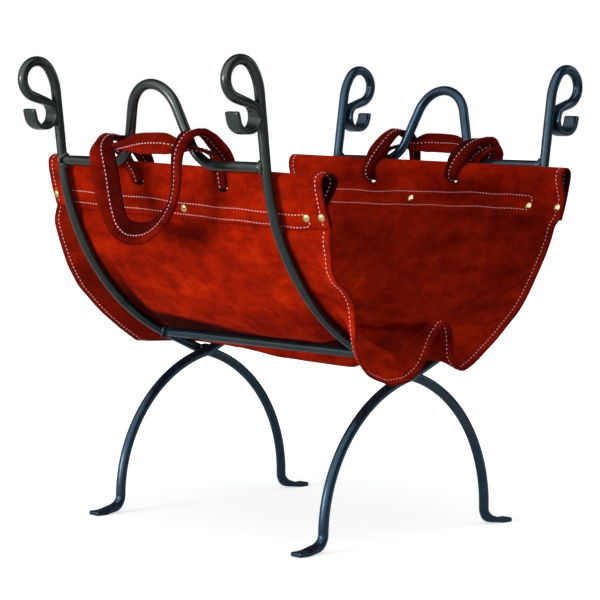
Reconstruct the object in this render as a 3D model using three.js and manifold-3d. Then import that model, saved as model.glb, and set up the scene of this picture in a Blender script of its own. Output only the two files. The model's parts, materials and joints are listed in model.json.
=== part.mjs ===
// Firewood rack: a welded frame of round bar that carries a leather log sling.
// Millimetres, Z up. X runs along the trough and the near side is -Y.
// The origin is on the floor, under the middle of the trough.
import * as THREE from 'three';
import { mergeVertices } from 'three/addons/utils/BufferGeometryUtils.js';
import Module from 'manifold-3d';

const degree = Math.PI / 180;
const quarterTurn = Math.PI / 2;

// Clearances
const gap = 0.3;
const strapClearance = 0.6;

// Frame
const barRadius = 6.35;
const frameSpacing = 380;
const crossingHeight = 203;
const legSlope = 14 * degree;
const legStraight = 10;
const ankleTop = 22;
const ankleRadius = 16;
const footSlope = 12 * degree;
const toeLength = 13;
const toeWidth = 19;
const toeThickness = 6;
const toeFlattening = 34;
const soleTrim = 0.4;
const cradleSlope = 23.5 * degree;
const cradleStraight = 73;
const cradleRadius = 288;
const postLean = 7.5 * degree;
const postLength = 87;

// Scroll at the top of each post
const neckRadius = 60;
const neckTurn = 30 * degree;
const scrollRadius = 22.5;
const curlRadius = 17;
const curlDrop = 43.5;
const curlEndLean = 15 * degree;
const curlEndLength = 9;
const curlWidth = 18.5;
const curlThickness = 5.4;

// Hand hoop in each top rail
const hoopHeight = 98;
const hoopLean = 12 * degree;
const hoopRadius = 44;
const hoopFlare = 20 * degree;
const hoopSweepRadius = 42;

// Weld beads
const weldLeg = 3.2;
const weldThroat = 0.8;
const crossingWeldRadius = 3;
const crossingWeldOffset = 4.5;
const crossingWeldLength = 16;

// Leather sling
const hideThickness = 2.4;
const plyGap = 0.6;
const hideLeft = -252;
const hideRight = 252;
const floorRadius = 40;
const flapLength = 64;
const flapDrop = 62;
const bandHeight = 24;
const sleeveBulge = 11;
const sleeveMouth = 12;
const bandInset = 3;
const topInset = 2;
const skew = { near: 13, far: 7 };
const floorSag = 10;
const sagReachShare = 0.17;
const ridgeHeight = 62;
const ridgeLowShare = 0.85;
const ridgeStart = -120;
const ridgeFull = 60;
const hemDroop = 48;
const wallBulge = 10;
const bulgeReach = 150;
const bulgeFromShare = 0.265;
const bulgeOverShare = 0.435;

// Slots for the straps, from the middle of the sling, and how high they sit above the band's lower seam
const slotRise = 42;
const slotHalfHeight = 9;
const slotDepth = 50;
const leftSlot = -64;
const rightSlot = 90;

// Straps: each is a folded and stitched strip
const strapHalfWidth = 12;
const strapHalfThickness = 3.6;
const tongueHalfWidth = 9;
const tongueHalfThickness = 2.4;

// Rivets
const rivetRadius = 4.6;
const rivetHeight = 2.2;
const rivetStem = 1.7;
const rivetRise = 12;
const hemRivetInset = 8;
const nearLeftRivet = -206;
const farLeftRivet = -175;
const nearMiddleRivet = 14;
const farMiddleRivet = -14;
const nearRightRivet = 224;
const farRightRivet = 196;

// Facets
const barSides = 10;
const strapSides = 8;
const arcSag = 0.35;
const roundPower = 2;
const flatPower = 5;
const strapPower = 3;
const cutOverrun = 20;

const leatherLook = { color: 0x8f1c08, roughness: 0.85, metalness: 0 };
const ironLook = { color: 0x2c2f30, roughness: 0.45, metalness: 0.6 };
const weldLook = { color: 0x3a3c3a, roughness: 0.55, metalness: 0.6 };
const brassLook = { color: 0xc9a04a, roughness: 0.25, metalness: 1 };

const wasm = await Module();
wasm.setup();
const rack = new THREE.Group();

function addMesh(name, geometry, look) {
  geometry.computeVertexNormals();
  const mesh = new THREE.Mesh(geometry, new THREE.MeshStandardMaterial(look));
  mesh.name = name;
  rack.add(mesh);
  return mesh;
}

function smooth(share) {
  const held = Math.min(1, Math.max(0, share));
  return held * held * (3 - 2 * held);
}

function mix(from, to, share) {
  return from + (to - from) * share;
}

// Planar paths: u runs outward, z up, and a heading is the angle above the u axis.
class Pen {
  constructor(u, z, heading) {
    this.u = u;
    this.z = z;
    this.heading = heading;
    this.travel = 0;
    this.stations = [];
    this.mark();
  }

  mark() {
    this.stations.push({ u: this.u, z: this.z, heading: this.heading, travel: this.travel });
  }

  straight(length) {
    this.u += length * Math.cos(this.heading);
    this.z += length * Math.sin(this.heading);
    this.travel += length;
    this.mark();
    return this;
  }

  // A positive turn bends to the left of the heading.
  arc(radius, turn) {
    const finest = 2 * Math.acos(1 - arcSag / radius);
    const count = Math.max(1, Math.ceil(Math.abs(turn) / finest));
    const step = turn / count;
    const chord = 2 * radius * Math.sin(Math.abs(step) / 2);
    for (let i = 0; i < count; i += 1) {
      this.heading += step / 2;
      this.u += chord * Math.cos(this.heading);
      this.z += chord * Math.sin(this.heading);
      this.heading += step / 2;
      this.travel += radius * Math.abs(step);
      this.mark();
    }
    return this;
  }
}

function signedPower(value, power) {
  return Math.sign(value) * Math.abs(value) ** power;
}

// One ring of a swept bar: across is square to the path's plane.
function barRing(station, halfWidth, halfThickness, power, place) {
  const ring = [];
  for (let k = 0; k < barSides; k += 1) {
    const angle = ((k + 0.5) / barSides) * 2 * Math.PI;
    const across = halfWidth * signedPower(Math.cos(angle), roundPower / power);
    const out = halfThickness * signedPower(Math.sin(angle), roundPower / power);
    const u = station.u - out * Math.sin(station.heading);
    const z = station.z + out * Math.cos(station.heading);
    ring.push(place(across, u, z));
  }
  return ring;
}

function signedVolume(points, faces) {
  let sum = 0;
  for (const [a, b, c] of faces) {
    sum += points[a].dot(new THREE.Vector3().crossVectors(points[b], points[c]));
  }
  return sum;
}

// A closed mesh from points and triangles, turned so that its faces point out.
function closedMesh(points, faces) {
  const inward = signedVolume(points, faces) < 0;
  const geometry = new THREE.BufferGeometry();
  geometry.setFromPoints(points);
  geometry.setIndex(faces.flatMap(([a, b, c]) => (inward ? [a, c, b] : [a, b, c])));
  return geometry;
}

// A loft through rings of equal count, closed by a flat cap at each end.
function loft(rings) {
  const count = rings[0].length;
  const faces = [];
  for (let i = 0; i + 1 < rings.length; i += 1) {
    for (let k = 0; k < count; k += 1) {
      const a = i * count + k;
      const b = i * count + ((k + 1) % count);
      faces.push([a, b, b + count], [a, b + count, a + count]);
    }
  }
  const last = (rings.length - 1) * count;
  for (let k = 1; k + 1 < count; k += 1) {
    faces.push([0, k + 1, k], [last, last + k, last + k + 1]);
  }
  return closedMesh(rings.flat(), faces);
}

function toSolid(geometry) {
  const bare = geometry.clone();
  bare.deleteAttribute('normal');
  bare.deleteAttribute('uv');
  const merged = mergeVertices(bare);
  return new wasm.Manifold(new wasm.Mesh({
    numProp: 3,
    vertProperties: new Float32Array(merged.attributes.position.array),
    triVerts: new Uint32Array(merged.index.array),
  }));
}

function toGeometry(solid) {
  const mesh = solid.getMesh();
  const geometry = new THREE.BufferGeometry();
  geometry.setAttribute('position', new THREE.BufferAttribute(mesh.vertProperties, 3));
  geometry.setIndex(new THREE.BufferAttribute(mesh.triVerts, 1));
  return geometry;
}

// The bar's path from the crossing out to the toe, on the side away from its post
function legPath() {
  const legRadius = (crossingHeight - legStraight * Math.sin(legSlope) - ankleTop) / Math.cos(legSlope);
  const pen = new Pen(0, crossingHeight, 2 * quarterTurn + legSlope);
  pen.straight(legStraight);
  pen.arc(legRadius, quarterTurn - legSlope);
  pen.arc(ankleRadius, footSlope - quarterTurn);
  const toeCentre = toeThickness / 2 - soleTrim;
  pen.straight((pen.z - toeCentre) / Math.sin(footSlope));
  pen.heading = Math.PI;
  pen.straight(toeLength);
  return pen;
}

// The bar's path from the crossing up the cradle and the post to the end of the curl
function postPath() {
  const pen = new Pen(0, crossingHeight, cradleSlope);
  pen.straight(cradleStraight);
  const lowerRail = { u: pen.u, z: pen.z, heading: pen.heading };
  pen.arc(cradleRadius, quarterTurn - postLean - cradleSlope);
  const topRail = { u: pen.u, z: pen.z, heading: pen.heading };
  pen.straight(postLength);
  pen.arc(neckRadius, -neckTurn);

  // The return strand runs straight from the scroll's circle to the curl's circle, which the post holds up.
  const scrollU = pen.u + scrollRadius * Math.sin(pen.heading);
  const scrollZ = pen.z - scrollRadius * Math.cos(pen.heading);
  const curlZ = scrollZ - curlDrop;
  const postU = topRail.u + (curlZ - topRail.z) * Math.tan(postLean);
  const curlU = postU + barRadius / Math.cos(postLean) + gap + curlThickness / 2 + curlRadius;
  const apart = Math.hypot(curlU - scrollU, curlZ - scrollZ);
  const radii = scrollRadius + curlRadius;
  const strand = Math.sqrt(apart * apart - radii * radii);
  const returnHeading = Math.atan2(curlZ - scrollZ, curlU - scrollU) - Math.atan2(radii, strand);
  pen.arc(scrollRadius, returnHeading - pen.heading);
  const flatStart = pen.travel;
  pen.straight(strand);
  const flatEnd = pen.travel + curlRadius * (-quarterTurn - returnHeading);
  pen.arc(curlRadius, quarterTurn - curlEndLean - returnHeading);
  pen.straight(curlEndLength);
  return { pen, lowerRail, topRail, flatStart, flatEnd };
}

const leg = legPath();
const post = postPath();
const { lowerRail, topRail } = post;

// Rings from the toe over the crossing to the curl's end, with a margin all round where the bar is a cutter
function barRings(place, margin = 0) {
  const grow = margin / Math.cos(Math.PI / barSides);
  const rings = [];
  for (const station of [...leg.stations].reverse().slice(0, -1)) {
    const flat = smooth(1 - (leg.travel - station.travel - toeLength) / toeFlattening);
    const ahead = { ...station, heading: station.heading - Math.PI };
    const halfWidth = mix(barRadius, toeWidth / 2, flat);
    const halfThickness = mix(barRadius, toeThickness / 2, flat);
    const power = mix(roundPower, flatPower, flat);
    rings.push(barRing(ahead, halfWidth + grow, halfThickness + grow, power, place));
  }
  const crossing = { u: 0, z: crossingHeight, heading: (legSlope + cradleSlope) / 2 };
  rings.push(barRing(crossing, barRadius + grow, barRadius + grow, roundPower, place));
  for (const station of post.pen.stations.slice(1)) {
    const flat = smooth((station.travel - post.flatStart) / (post.flatEnd - post.flatStart));
    const halfWidth = mix(barRadius, curlWidth / 2, flat);
    const halfThickness = mix(barRadius, curlThickness / 2, flat);
    const power = mix(roundPower, flatPower, flat);
    rings.push(barRing(station, halfWidth + grow, halfThickness + grow, power, place));
  }
  return rings;
}

// Everything below the floor is ground off, which leaves a flat sole.
function trimSole(geometry) {
  const reach = 4 * cradleRadius;
  const floor = new THREE.BoxGeometry(reach, reach, cutOverrun);
  floor.translate(0, 0, -cutOverrun / 2);
  return toGeometry(toSolid(geometry).subtract(toSolid(floor)));
}

// Which way each side faces, and on which side of a frame's middle its posts stand
const sideSign = { near: -1, far: 1 };
const barShift = barRadius + gap / 2;
const railX = { near: -barShift, far: barShift };

function barX(endSign, side) {
  return (endSign * frameSpacing) / 2 + railX[side];
}

function barPlace(endSign, side) {
  return (across, u, z) => new THREE.Vector3(barX(endSign, side) + across, sideSign[side] * u, z);
}

for (const [end, endSign] of [['left', -1], ['right', 1]]) {
  for (const side of ['near', 'far']) {
    addMesh(`${end}_${side}_bar`, trimSole(loft(barRings(barPlace(endSign, side)))), ironLook);
  }
}

// A bar with the gap all round it, for cutting the weld that meets it
function barCutter(endSign, side) {
  return toSolid(loft(barRings(barPlace(endSign, side), gap)));
}

// Top rail: one rod with the hoop bent up in its middle, in a plane that leans outward
const railHalf = frameSpacing / 2 - barRadius - gap;
const sweepRise = hoopSweepRadius * (1 - Math.cos(quarterTurn - hoopFlare));
const crownRise = hoopRadius * (1 - Math.cos(quarterTurn - hoopFlare));
const riser = (hoopHeight - sweepRise - crownRise) / Math.cos(hoopFlare);
const halfSpan = (hoopRadius + hoopSweepRadius) * Math.cos(hoopFlare) + riser * Math.sin(hoopFlare);
function topRailGeometry(side) {
  const left = railX[side] - railHalf;
  const right = railX[side] + railHalf;
  const pen = new Pen(left, 0, 0);
  pen.straight(-halfSpan - left);
  pen.arc(hoopSweepRadius, quarterTurn - hoopFlare);
  pen.straight(riser);
  pen.arc(hoopRadius, 2 * hoopFlare - 2 * quarterTurn);
  pen.straight(riser);
  pen.arc(hoopSweepRadius, quarterTurn - hoopFlare);
  pen.straight(right - halfSpan);
  const place = (across, x, rise) => new THREE.Vector3(
    x,
    sideSign[side] * (topRail.u + rise * Math.sin(hoopLean) + across * Math.cos(hoopLean)),
    topRail.z + rise * Math.cos(hoopLean) - across * Math.sin(hoopLean),
  );
  return loft(pen.stations.map((station) => barRing(station, barRadius, barRadius, roundPower, place)));
}

function lowerRailGeometry(side) {
  const rail = new THREE.CylinderGeometry(barRadius, barRadius, 2 * railHalf, barSides);
  rail.rotateZ(quarterTurn);
  rail.translate(railX[side], sideSign[side] * lowerRail.u, lowerRail.z);
  return rail;
}

// A fillet round the end of a rail, cut to the bar that it joins and dressed flush with the bar's upper side
function railWeld(side, endSign, point) {
  const inner = barRadius + gap;
  const profile = [
    new THREE.Vector2(inner, -weldLeg),
    new THREE.Vector2(inner + weldLeg, -weldLeg),
    new THREE.Vector2(inner + weldLeg * 0.9, gap),
    new THREE.Vector2(inner + weldThroat, weldLeg + gap),
    new THREE.Vector2(inner, weldLeg + gap),
    new THREE.Vector2(inner, -weldLeg),
  ];
  const bead = new THREE.LatheGeometry(profile, barSides);
  bead.rotateZ(endSign * quarterTurn);
  bead.translate(railX[side] + endSign * railHalf, sideSign[side] * point.u, point.z);
  const dress = new THREE.BoxGeometry(cutOverrun, 2 * cutOverrun, cutOverrun);
  dress.translate(0, 0, barRadius + cutOverrun / 2);
  dress.rotateX(side === 'far' ? point.heading : -point.heading);
  dress.translate(railX[side] + endSign * railHalf, sideSign[side] * point.u, point.z);
  return toGeometry(toSolid(bead).subtract(barCutter(endSign, side)).subtract(toSolid(dress)));
}

// A bead in the groove where the two bars of a frame cross
function crossingWeld(endSign, upSign) {
  const radius = crossingWeldRadius;
  const bead = new THREE.CylinderGeometry(radius, radius, crossingWeldLength, barSides);
  bead.translate((endSign * frameSpacing) / 2, 0, crossingHeight + upSign * crossingWeldOffset);
  const cut = toSolid(bead).subtract(barCutter(endSign, 'near')).subtract(barCutter(endSign, 'far'));
  return toGeometry(cut);
}

for (const side of ['near', 'far']) {
  addMesh(`${side}_top_rail`, topRailGeometry(side), ironLook);
  addMesh(`${side}_lower_rail`, lowerRailGeometry(side), ironLook);
  for (const [end, endSign] of [['left', -1], ['right', 1]]) {
    addMesh(`${side}_top_weld_${end}`, railWeld(side, endSign, topRail), weldLook);
    addMesh(`${side}_lower_weld_${end}`, railWeld(side, endSign, lowerRail), weldLook);
  }
}
for (const [end, endSign] of [['left', -1], ['right', 1]]) {
  addMesh(`crossing_weld_top_${end}`, crossingWeld(endSign, 1), weldLook);
  addMesh(`crossing_weld_under_${end}`, crossingWeld(endSign, -1), weldLook);
}

// The hide's path from the middle of the floor up the wall, inside the bars by this inset
const hideInset = barRadius + gap + hideThickness / 2;
const slopeEnd = lowerRail.u - hideInset * Math.sin(cradleSlope);
const slopeLength = slopeEnd / Math.cos(cradleSlope) - floorRadius * Math.tan(cradleSlope);
const hideVertex = crossingHeight + hideInset / Math.cos(cradleSlope);
const hideFloor = hideVertex + floorRadius * (1 / Math.cos(cradleSlope) - 1);
const wallRadius = cradleRadius - hideInset;
const wallTurn = quarterTurn - postLean - cradleSlope;
const hidePieces = [
  { length: floorRadius * cradleSlope, radius: floorRadius },
  { length: slopeLength, radius: Infinity },
  { length: Infinity, radius: wallRadius },
];
function hideAt(travel) {
  let left = travel;
  let heading = 0;
  let u = 0;
  let z = hideFloor;
  for (const piece of hidePieces) {
    const run = Math.min(left, piece.length);
    const turn = run / piece.radius;
    const chord = turn > 0 ? 2 * piece.radius * Math.sin(turn / 2) : run;
    u += chord * Math.cos(heading + turn / 2);
    z += chord * Math.sin(heading + turn / 2);
    heading += turn;
    left -= run;
  }
  return { u, z, heading };
}

// Travel along the hide's path to the level of the top rail, and to the flap's seam below it
const railTravel = floorRadius * cradleSlope + slopeLength + wallRadius * wallTurn;
const seamTravel = railTravel - flapDrop;

// Floor and wall of the sling. Each row: travel from the middle as a share of the way to the flap's seam,
// then how far the ridge lifts it and how far the right and left hems droop, as shares of their sizes.
const nearWallShares = [
  [0.028, 0.95, 0, 0.1],
  [0.056, 0.78, 0, 0.13],
  [0.09, 0.46, 0, 0.2],
  [0.135, 0.06, 0.08, 0.32],
  [0.19, 0, 0.55, 0.43],
  [0.265, 0, 0.93, 0.44],
  [0.4, 0, 1, 0.37],
  [0.57, 0, 0.3, 0.32],
  [0.76, 0, 0.04, 0.2],
];
const farWallShares = [
  [0.028, 0.9, 0, 0.1],
  [0.045, 0.35, 0, 0.12],
  [0.065, 0.02, 0.03, 0.15],
  [0.16, 0, 0.25, 0.4],
  [0.265, 0, 0.14, 0.44],
  [0.4, 0, 0.04, 0.37],
  [0.57, 0, -0.05, 0.32],
  [0.76, 0, -0.1, 0.2],
];
// The sleeve above the seam: rise as a share of the flap, distance inward as a share of the sleeve's depth,
// and whether it lies on the pinched band (1) or not (0).
const sleeveShares = [
  [0, 0, 1],
  [0.37, 0, 1],
  [0.58, 0.6, 1],
  [0.78, 1, 1],
  [0.93, 0.9, 1],
  [1, 0.5, 0.5],
  [0.94, 0.1, 0],
  [0.78, 0, 0],
  [0.37, 0, 0],
  [-0.05, 0, 0],
];

// How far a place along the trough is into the right or the left overhang
const frameOuter = frameSpacing / 2 + barShift + barRadius;
function overhang(x) {
  return {
    right: smooth((x - frameOuter) / (hideRight - frameOuter)),
    left: smooth((-x - frameOuter) / (-hideLeft - frameOuter)),
  };
}

function hidePoint(side, x, travel, inward) {
  const base = hideAt(travel);
  const u = base.u - inward * Math.sin(base.heading);
  const z = base.z + inward * Math.cos(base.heading);
  return new THREE.Vector3(x, sideSign[side] * u, z);
}

// How far the seam and the fold at the top lie below their left ends: the sling hangs a little askew
function skewDrop(side, x) {
  return (skew[side] * (x - hideLeft)) / (hideRight - hideLeft);
}

function sleevePoint(side, x, [rise, depth, pinched]) {
  const mouth = Math.max(overhang(x).right, overhang(x).left);
  const deep = sleeveBulge + sleeveMouth * mouth;
  const band = (hideThickness + plyGap) * pinched;
  const clear = topInset * smooth(1 + (bulgeReach - Math.abs(x)) / (frameSpacing / 2 - bulgeReach - barRadius));
  const aboveBand = smooth((rise * flapLength - bandHeight) / bandHeight);
  const inset = bandInset + clear * aboveBand;
  const travel = seamTravel + rise * flapLength - skewDrop(side, x);
  return hidePoint(side, x, travel, band + deep * depth + inset);
}

// The mid-surface of the hide at one place along the trough, from the near flap's edge to the far one's
function hideSection(x) {
  const along = smooth((x - ridgeStart) / (ridgeFull - ridgeStart));
  const ridge = ridgeHeight * mix(ridgeLowShare, 1, overhang(x).right) * along;
  const span = Math.max(0, 1 - (x / bulgeReach) ** 2);
  const sagAt = (share) => floorSag * span * Math.cos((Math.PI / 2) * Math.min(1, share / sagReachShare));
  const floor = hidePoint('near', x, 0, ridge - sagAt(0));
  const half = (side, rows) => {
    const wall = rows.map(([share, lift, right, left]) => {
      const droop = hemDroop * (right * overhang(x).right + left * overhang(x).left);
      const bulge = wallBulge * span * Math.sin(Math.PI * smooth((share - bulgeFromShare) / bulgeOverShare));
      return hidePoint(side, x, share * seamTravel, ridge * lift - droop - bulge - sagAt(share));
    });
    return [...wall, ...sleeveShares.map((row) => sleevePoint(side, x, row))];
  };
  return [...half('near', nearWallShares).reverse(), floor, ...half('far', farWallShares)];
}

// A closed sheet round a grid of mid-surface points
function sheet(rows, thickness) {
  const normals = rows.map((row, i) => row.map((point, j) => {
    const along = rows[Math.min(i + 1, rows.length - 1)][j].clone().sub(rows[Math.max(i - 1, 0)][j]);
    const round = row[Math.min(j + 1, row.length - 1)].clone().sub(row[Math.max(j - 1, 0)]);
    return along.cross(round).normalize();
  }));
  const count = rows[0].length;
  const points = [];
  for (const half of [thickness / 2, -thickness / 2]) {
    rows.forEach((row, i) => row.forEach((point, j) => {
      points.push(point.clone().addScaledVector(normals[i][j], half));
    }));
  }
  const under = rows.length * count;
  const faces = [];
  const quad = (a, b, c, d) => faces.push([a, b, c], [a, c, d]);
  for (let i = 0; i + 1 < rows.length; i += 1) {
    for (let j = 0; j + 1 < count; j += 1) {
      const a = i * count + j;
      quad(a, a + 1, a + count + 1, a + count);
      quad(under + a, under + a + count, under + a + count + 1, under + a + 1);
    }
  }
  const last = (rows.length - 1) * count;
  for (let j = 0; j + 1 < count; j += 1) {
    quad(j, under + j, under + j + 1, j + 1);
    quad(last + j, last + j + 1, under + last + j + 1, under + last + j);
  }
  for (let i = 0; i + 1 < rows.length; i += 1) {
    const a = i * count;
    const b = a + count - 1;
    quad(a, a + count, under + a + count, under + a);
    quad(b, under + b, under + b + count, b + count);
  }
  return closedMesh(points, faces);
}

// Places along the trough at which the hide's section is taken
const hideStations = [
  hideLeft,
  -frameOuter,
  -bulgeReach,
  -bulgeReach / 3,
  bulgeReach / 3,
  bulgeReach,
  frameOuter,
  hideRight,
];

// The far slots are the near ones turned half round, at the same height.
const slots = [leftSlot, rightSlot].flatMap((x) => {
  const rise = slotRise - skewDrop('near', x);
  return [{ side: 'near', x, rise }, { side: 'far', x: -x, rise }];
});
// A tool that cuts or stands square through both plies at a place on the wall
function squareToWall(geometry, side, x, rise, inward) {
  const travel = seamTravel + rise;
  const point = hidePoint(side, x, travel, inward);
  const heading = hideAt(travel).heading;
  geometry.rotateX(sideSign[side] * heading - quarterTurn);
  geometry.translate(point.x, point.y, point.z);
  return geometry;
}

function slotCutter({ side, x, rise }) {
  const cutter = new THREE.CylinderGeometry(1, 1, slotDepth, strapSides);
  cutter.scale(tongueHalfWidth + strapClearance, 1, slotHalfHeight);
  return squareToWall(cutter, side, x, rise, bandInset + topInset);
}

const rivets = [];
for (const side of ['near', 'far']) {
  const places = [
    ['hem_left', hideLeft + hemRivetInset],
    ['left', side === 'near' ? nearLeftRivet : farLeftRivet],
    ['middle', side === 'near' ? nearMiddleRivet : farMiddleRivet],
    ['right', side === 'near' ? nearRightRivet : farRightRivet],
    ['hem_right', hideRight - hemRivetInset],
  ];
  for (const [name, x] of places) {
    rivets.push({ name: `${side}_rivet_${name}`, side, x, rise: rivetRise - skewDrop(side, x) });
  }
}

const plies = 2 * hideThickness + plyGap;
const plyMiddle = (hideThickness + plyGap) / 2;
const holeSides = 4;
const rivetSides = 8;
function rivetHole({ side, x, rise }) {
  const radius = (rivetStem + gap) / Math.cos(Math.PI / holeSides);
  const hole = new THREE.CylinderGeometry(radius, radius, plies + 2 * hideThickness, holeSides);
  return squareToWall(hole, side, x, rise, plyMiddle + bandInset);
}

// A spool: domed head outside, stem through both plies, flat burr inside
function rivetGeometry({ side, x, rise }) {
  const face = plies / 2 + gap;
  const burr = rivetHeight / 2;
  const profile = [
    new THREE.Vector2(0, -face - burr),
    new THREE.Vector2(rivetRadius * 0.8, -face - burr),
    new THREE.Vector2(rivetRadius * 0.8, -face),
    new THREE.Vector2(rivetStem, -face),
    new THREE.Vector2(rivetStem, face),
    new THREE.Vector2(rivetRadius, face),
    new THREE.Vector2(rivetRadius * 0.8, face + rivetHeight * 0.65),
    new THREE.Vector2(0, face + rivetHeight),
  ];
  const rivet = new THREE.LatheGeometry(profile, rivetSides);
  return squareToWall(rivet, side, x, rise, plyMiddle + bandInset);
}

function slingGeometry() {
  let solid = toSolid(sheet(hideStations.map(hideSection), hideThickness));
  for (const slot of slots) {
    solid = solid.subtract(toSolid(slotCutter(slot)));
  }
  for (const rivet of rivets) {
    solid = solid.subtract(toSolid(rivetHole(rivet)));
  }
  return toGeometry(solid);
}
addMesh('leather_sling', slingGeometry(), leatherLook);
for (const rivet of rivets) {
  addMesh(rivet.name, rivetGeometry(rivet), brassLook);
}

// Straps. A route is a list of stops: place along the trough, distance outward from the top rail and rise above
// it, all as shares of the straps' reach; then half the strip's width there, and the direction of its width
// (along, outward, up). The reach takes a strap just clear of the hoop.
const strapReach = halfSpan + strapHalfThickness + strapClearance;
const outShare = 0.395;
const hingeShare = 0.08;
const crestShare = 0.05;
const apartShare = gap / strapReach;
const leftShares = { x: -0.88, rise: 0.31 };
const rightShares = { x: 0.73, rise: 0.395 };
const leftSlotShare = leftSlot / strapReach;
const rightSlotShare = rightSlot / strapReach;
const wide = strapHalfWidth;
const slim = tongueHalfWidth;

const loopShares = [
  [leftShares.x, hingeShare, leftShares.rise, wide, [1, 0, 0]],
  [leftShares.x, hingeShare + crestShare, leftShares.rise, wide, [1, 0, 0]],
  [leftShares.x + 0.05, 0.24, leftShares.rise - 0.04, wide, [1, -0.1, 0.1]],
  [-0.74, 0.365, 0.17, wide, [1, -0.3, 0.25]],
  [-0.67, outShare, 0.02, wide, [1, -0.5, 0.2]],
  [-0.62, outShare, -0.14, wide, [1, -0.55, 0.2]],
  [-0.57, outShare, -0.36, wide, [1, -0.6, 0.25]],
  [-0.5, outShare, -0.58, wide, [1, -0.6, 0.4]],
  [-0.4, outShare, -0.765, wide, [0.8, -0.65, 0.7]],
  [-0.24, outShare, -0.875, wide, [0.3, -0.65, 0.9]],
  [-0.04, outShare, -0.895, wide, [0, -0.6, 1]],
  [0.18, outShare, -0.855, wide, [-0.3, -0.6, 0.9]],
  [0.39, outShare, -0.74, wide, [-0.6, -0.6, 0.6]],
  [0.56, outShare, -0.57, wide, [-0.9, -0.55, 0.4]],
  [0.67, outShare, -0.38, wide, [-1, -0.5, 0.2]],
  [0.71, outShare, -0.18, wide, [-1, -0.45, 0]],
  [0.71, outShare, 0, wide, [-1, -0.35, 0]],
  [0.72, outShare - 0.01, 0.15, wide, [-1, -0.25, 0]],
  [0.73, 0.33, 0.27, wide, [-1, -0.15, 0]],
  [rightShares.x, 0.24, 0.36, wide, [-1, -0.05, 0]],
  [rightShares.x, hingeShare + crestShare, rightShares.rise, wide, [-1, 0, 0]],
  [rightShares.x, hingeShare, rightShares.rise, wide, [-1, 0, 0]],
];
const leftTailShares = [
  [leftShares.x, hingeShare - apartShare, leftShares.rise, wide, [1, 0, 0]],
  [leftShares.x, hingeShare - apartShare - crestShare, leftShares.rise, wide, [1, 0, 0]],
  [leftShares.x + 0.01, -0.08, 0.29, wide, [1, 0.1, 0.1]],
  [-0.84, -0.22, 0.22, wide, [1, 0.1, 0.2]],
  [-0.74, -0.32, 0.06, wide, [1, 0, 0.3]],
  [leftSlotShare - 0.03, -0.36, -0.1, slim, [1, 0, 0.1]],
  [leftSlotShare, -0.33, -0.185, slim, [1, 0, 0]],
  [leftSlotShare, -0.24, -0.21, slim, [1, 0, 0]],
];
const rightTailShares = [
  [rightShares.x, hingeShare - apartShare, rightShares.rise, wide, [1, 0, 0]],
  [rightShares.x, hingeShare - apartShare - crestShare, rightShares.rise, wide, [1, 0, 0]],
  [0.74, -0.07, 0.35, wide, [1, 0, 0]],
  [0.77, -0.15, 0.27, wide, [1, 0, 0.2]],
  [0.82, -0.25, 0.14, wide, [1, 0, 0.3]],
  [rightSlotShare - 0.03, -0.34, -0.03, slim, [1, 0, 0.2]],
  [rightSlotShare, -0.36, -0.14, slim, [1, 0, 0]],
  [rightSlotShare, -0.33, -0.22, slim, [1, 0, 0]],
  [rightSlotShare, -0.24, -0.24, slim, [1, 0, 0]],
];
const shortShares = [
  [leftSlotShare, -0.13, -0.24, slim, [1, 0, 0.1]],
  [leftSlotShare - 0.03, -0.11, -0.14, slim, [1, 0, 0.3]],
  [leftSlotShare - 0.13, -0.1, -0.02, slim, [1, 0, 0.5]],
  [-0.88, -0.09, 0.11, slim, [1, 0, 0.5]],
  [-0.95, 0, 0.175, slim, [1, 0.4, 0.1]],
  [-0.88, 0.11, 0.185, slim, [0.4, 1, 0]],
  [-0.72, 0.16, 0.18, slim, [-0.2, 1, 0.1]],
  [-0.62, 0.21, 0.185, slim, [-0.2, 1, 0.2]],
  [-0.5, 0.272, 0.19, slim, [-0.2, 1, 0.4]],
  [-0.38, 0.31, 0.2, slim, [-0.1, 0.9, 0.6]],
  [-0.26, 0.325, 0.21, slim, [0, 0.7, 0.8]],
  [-0.04, 0.34, 0.23, wide, [0, 0.3, 1]],
  [0.18, 0.345, 0.24, wide, [0, 0, 1]],
  [0.4, 0.32, 0.24, wide, [0, 0, 1]],
  [0.54, 0.22, 0.22, slim, [0.1, 0.6, 1]],
  [0.69, 0.18, 0.21, slim, [0.3, 1, 0.3]],
  [0.83, 0.07, 0.175, slim, [0.9, 0.7, 0]],
  [0.87, -0.04, 0.12, slim, [1, 0.3, 0.1]],
  [rightSlotShare - 0.02, -0.1, -0.02, slim, [1, 0, 0.2]],
  [rightSlotShare, -0.11, -0.14, slim, [1, 0, 0.1]],
  [rightSlotShare, -0.14, -0.27, slim, [1, 0, 0]],
];

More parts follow.
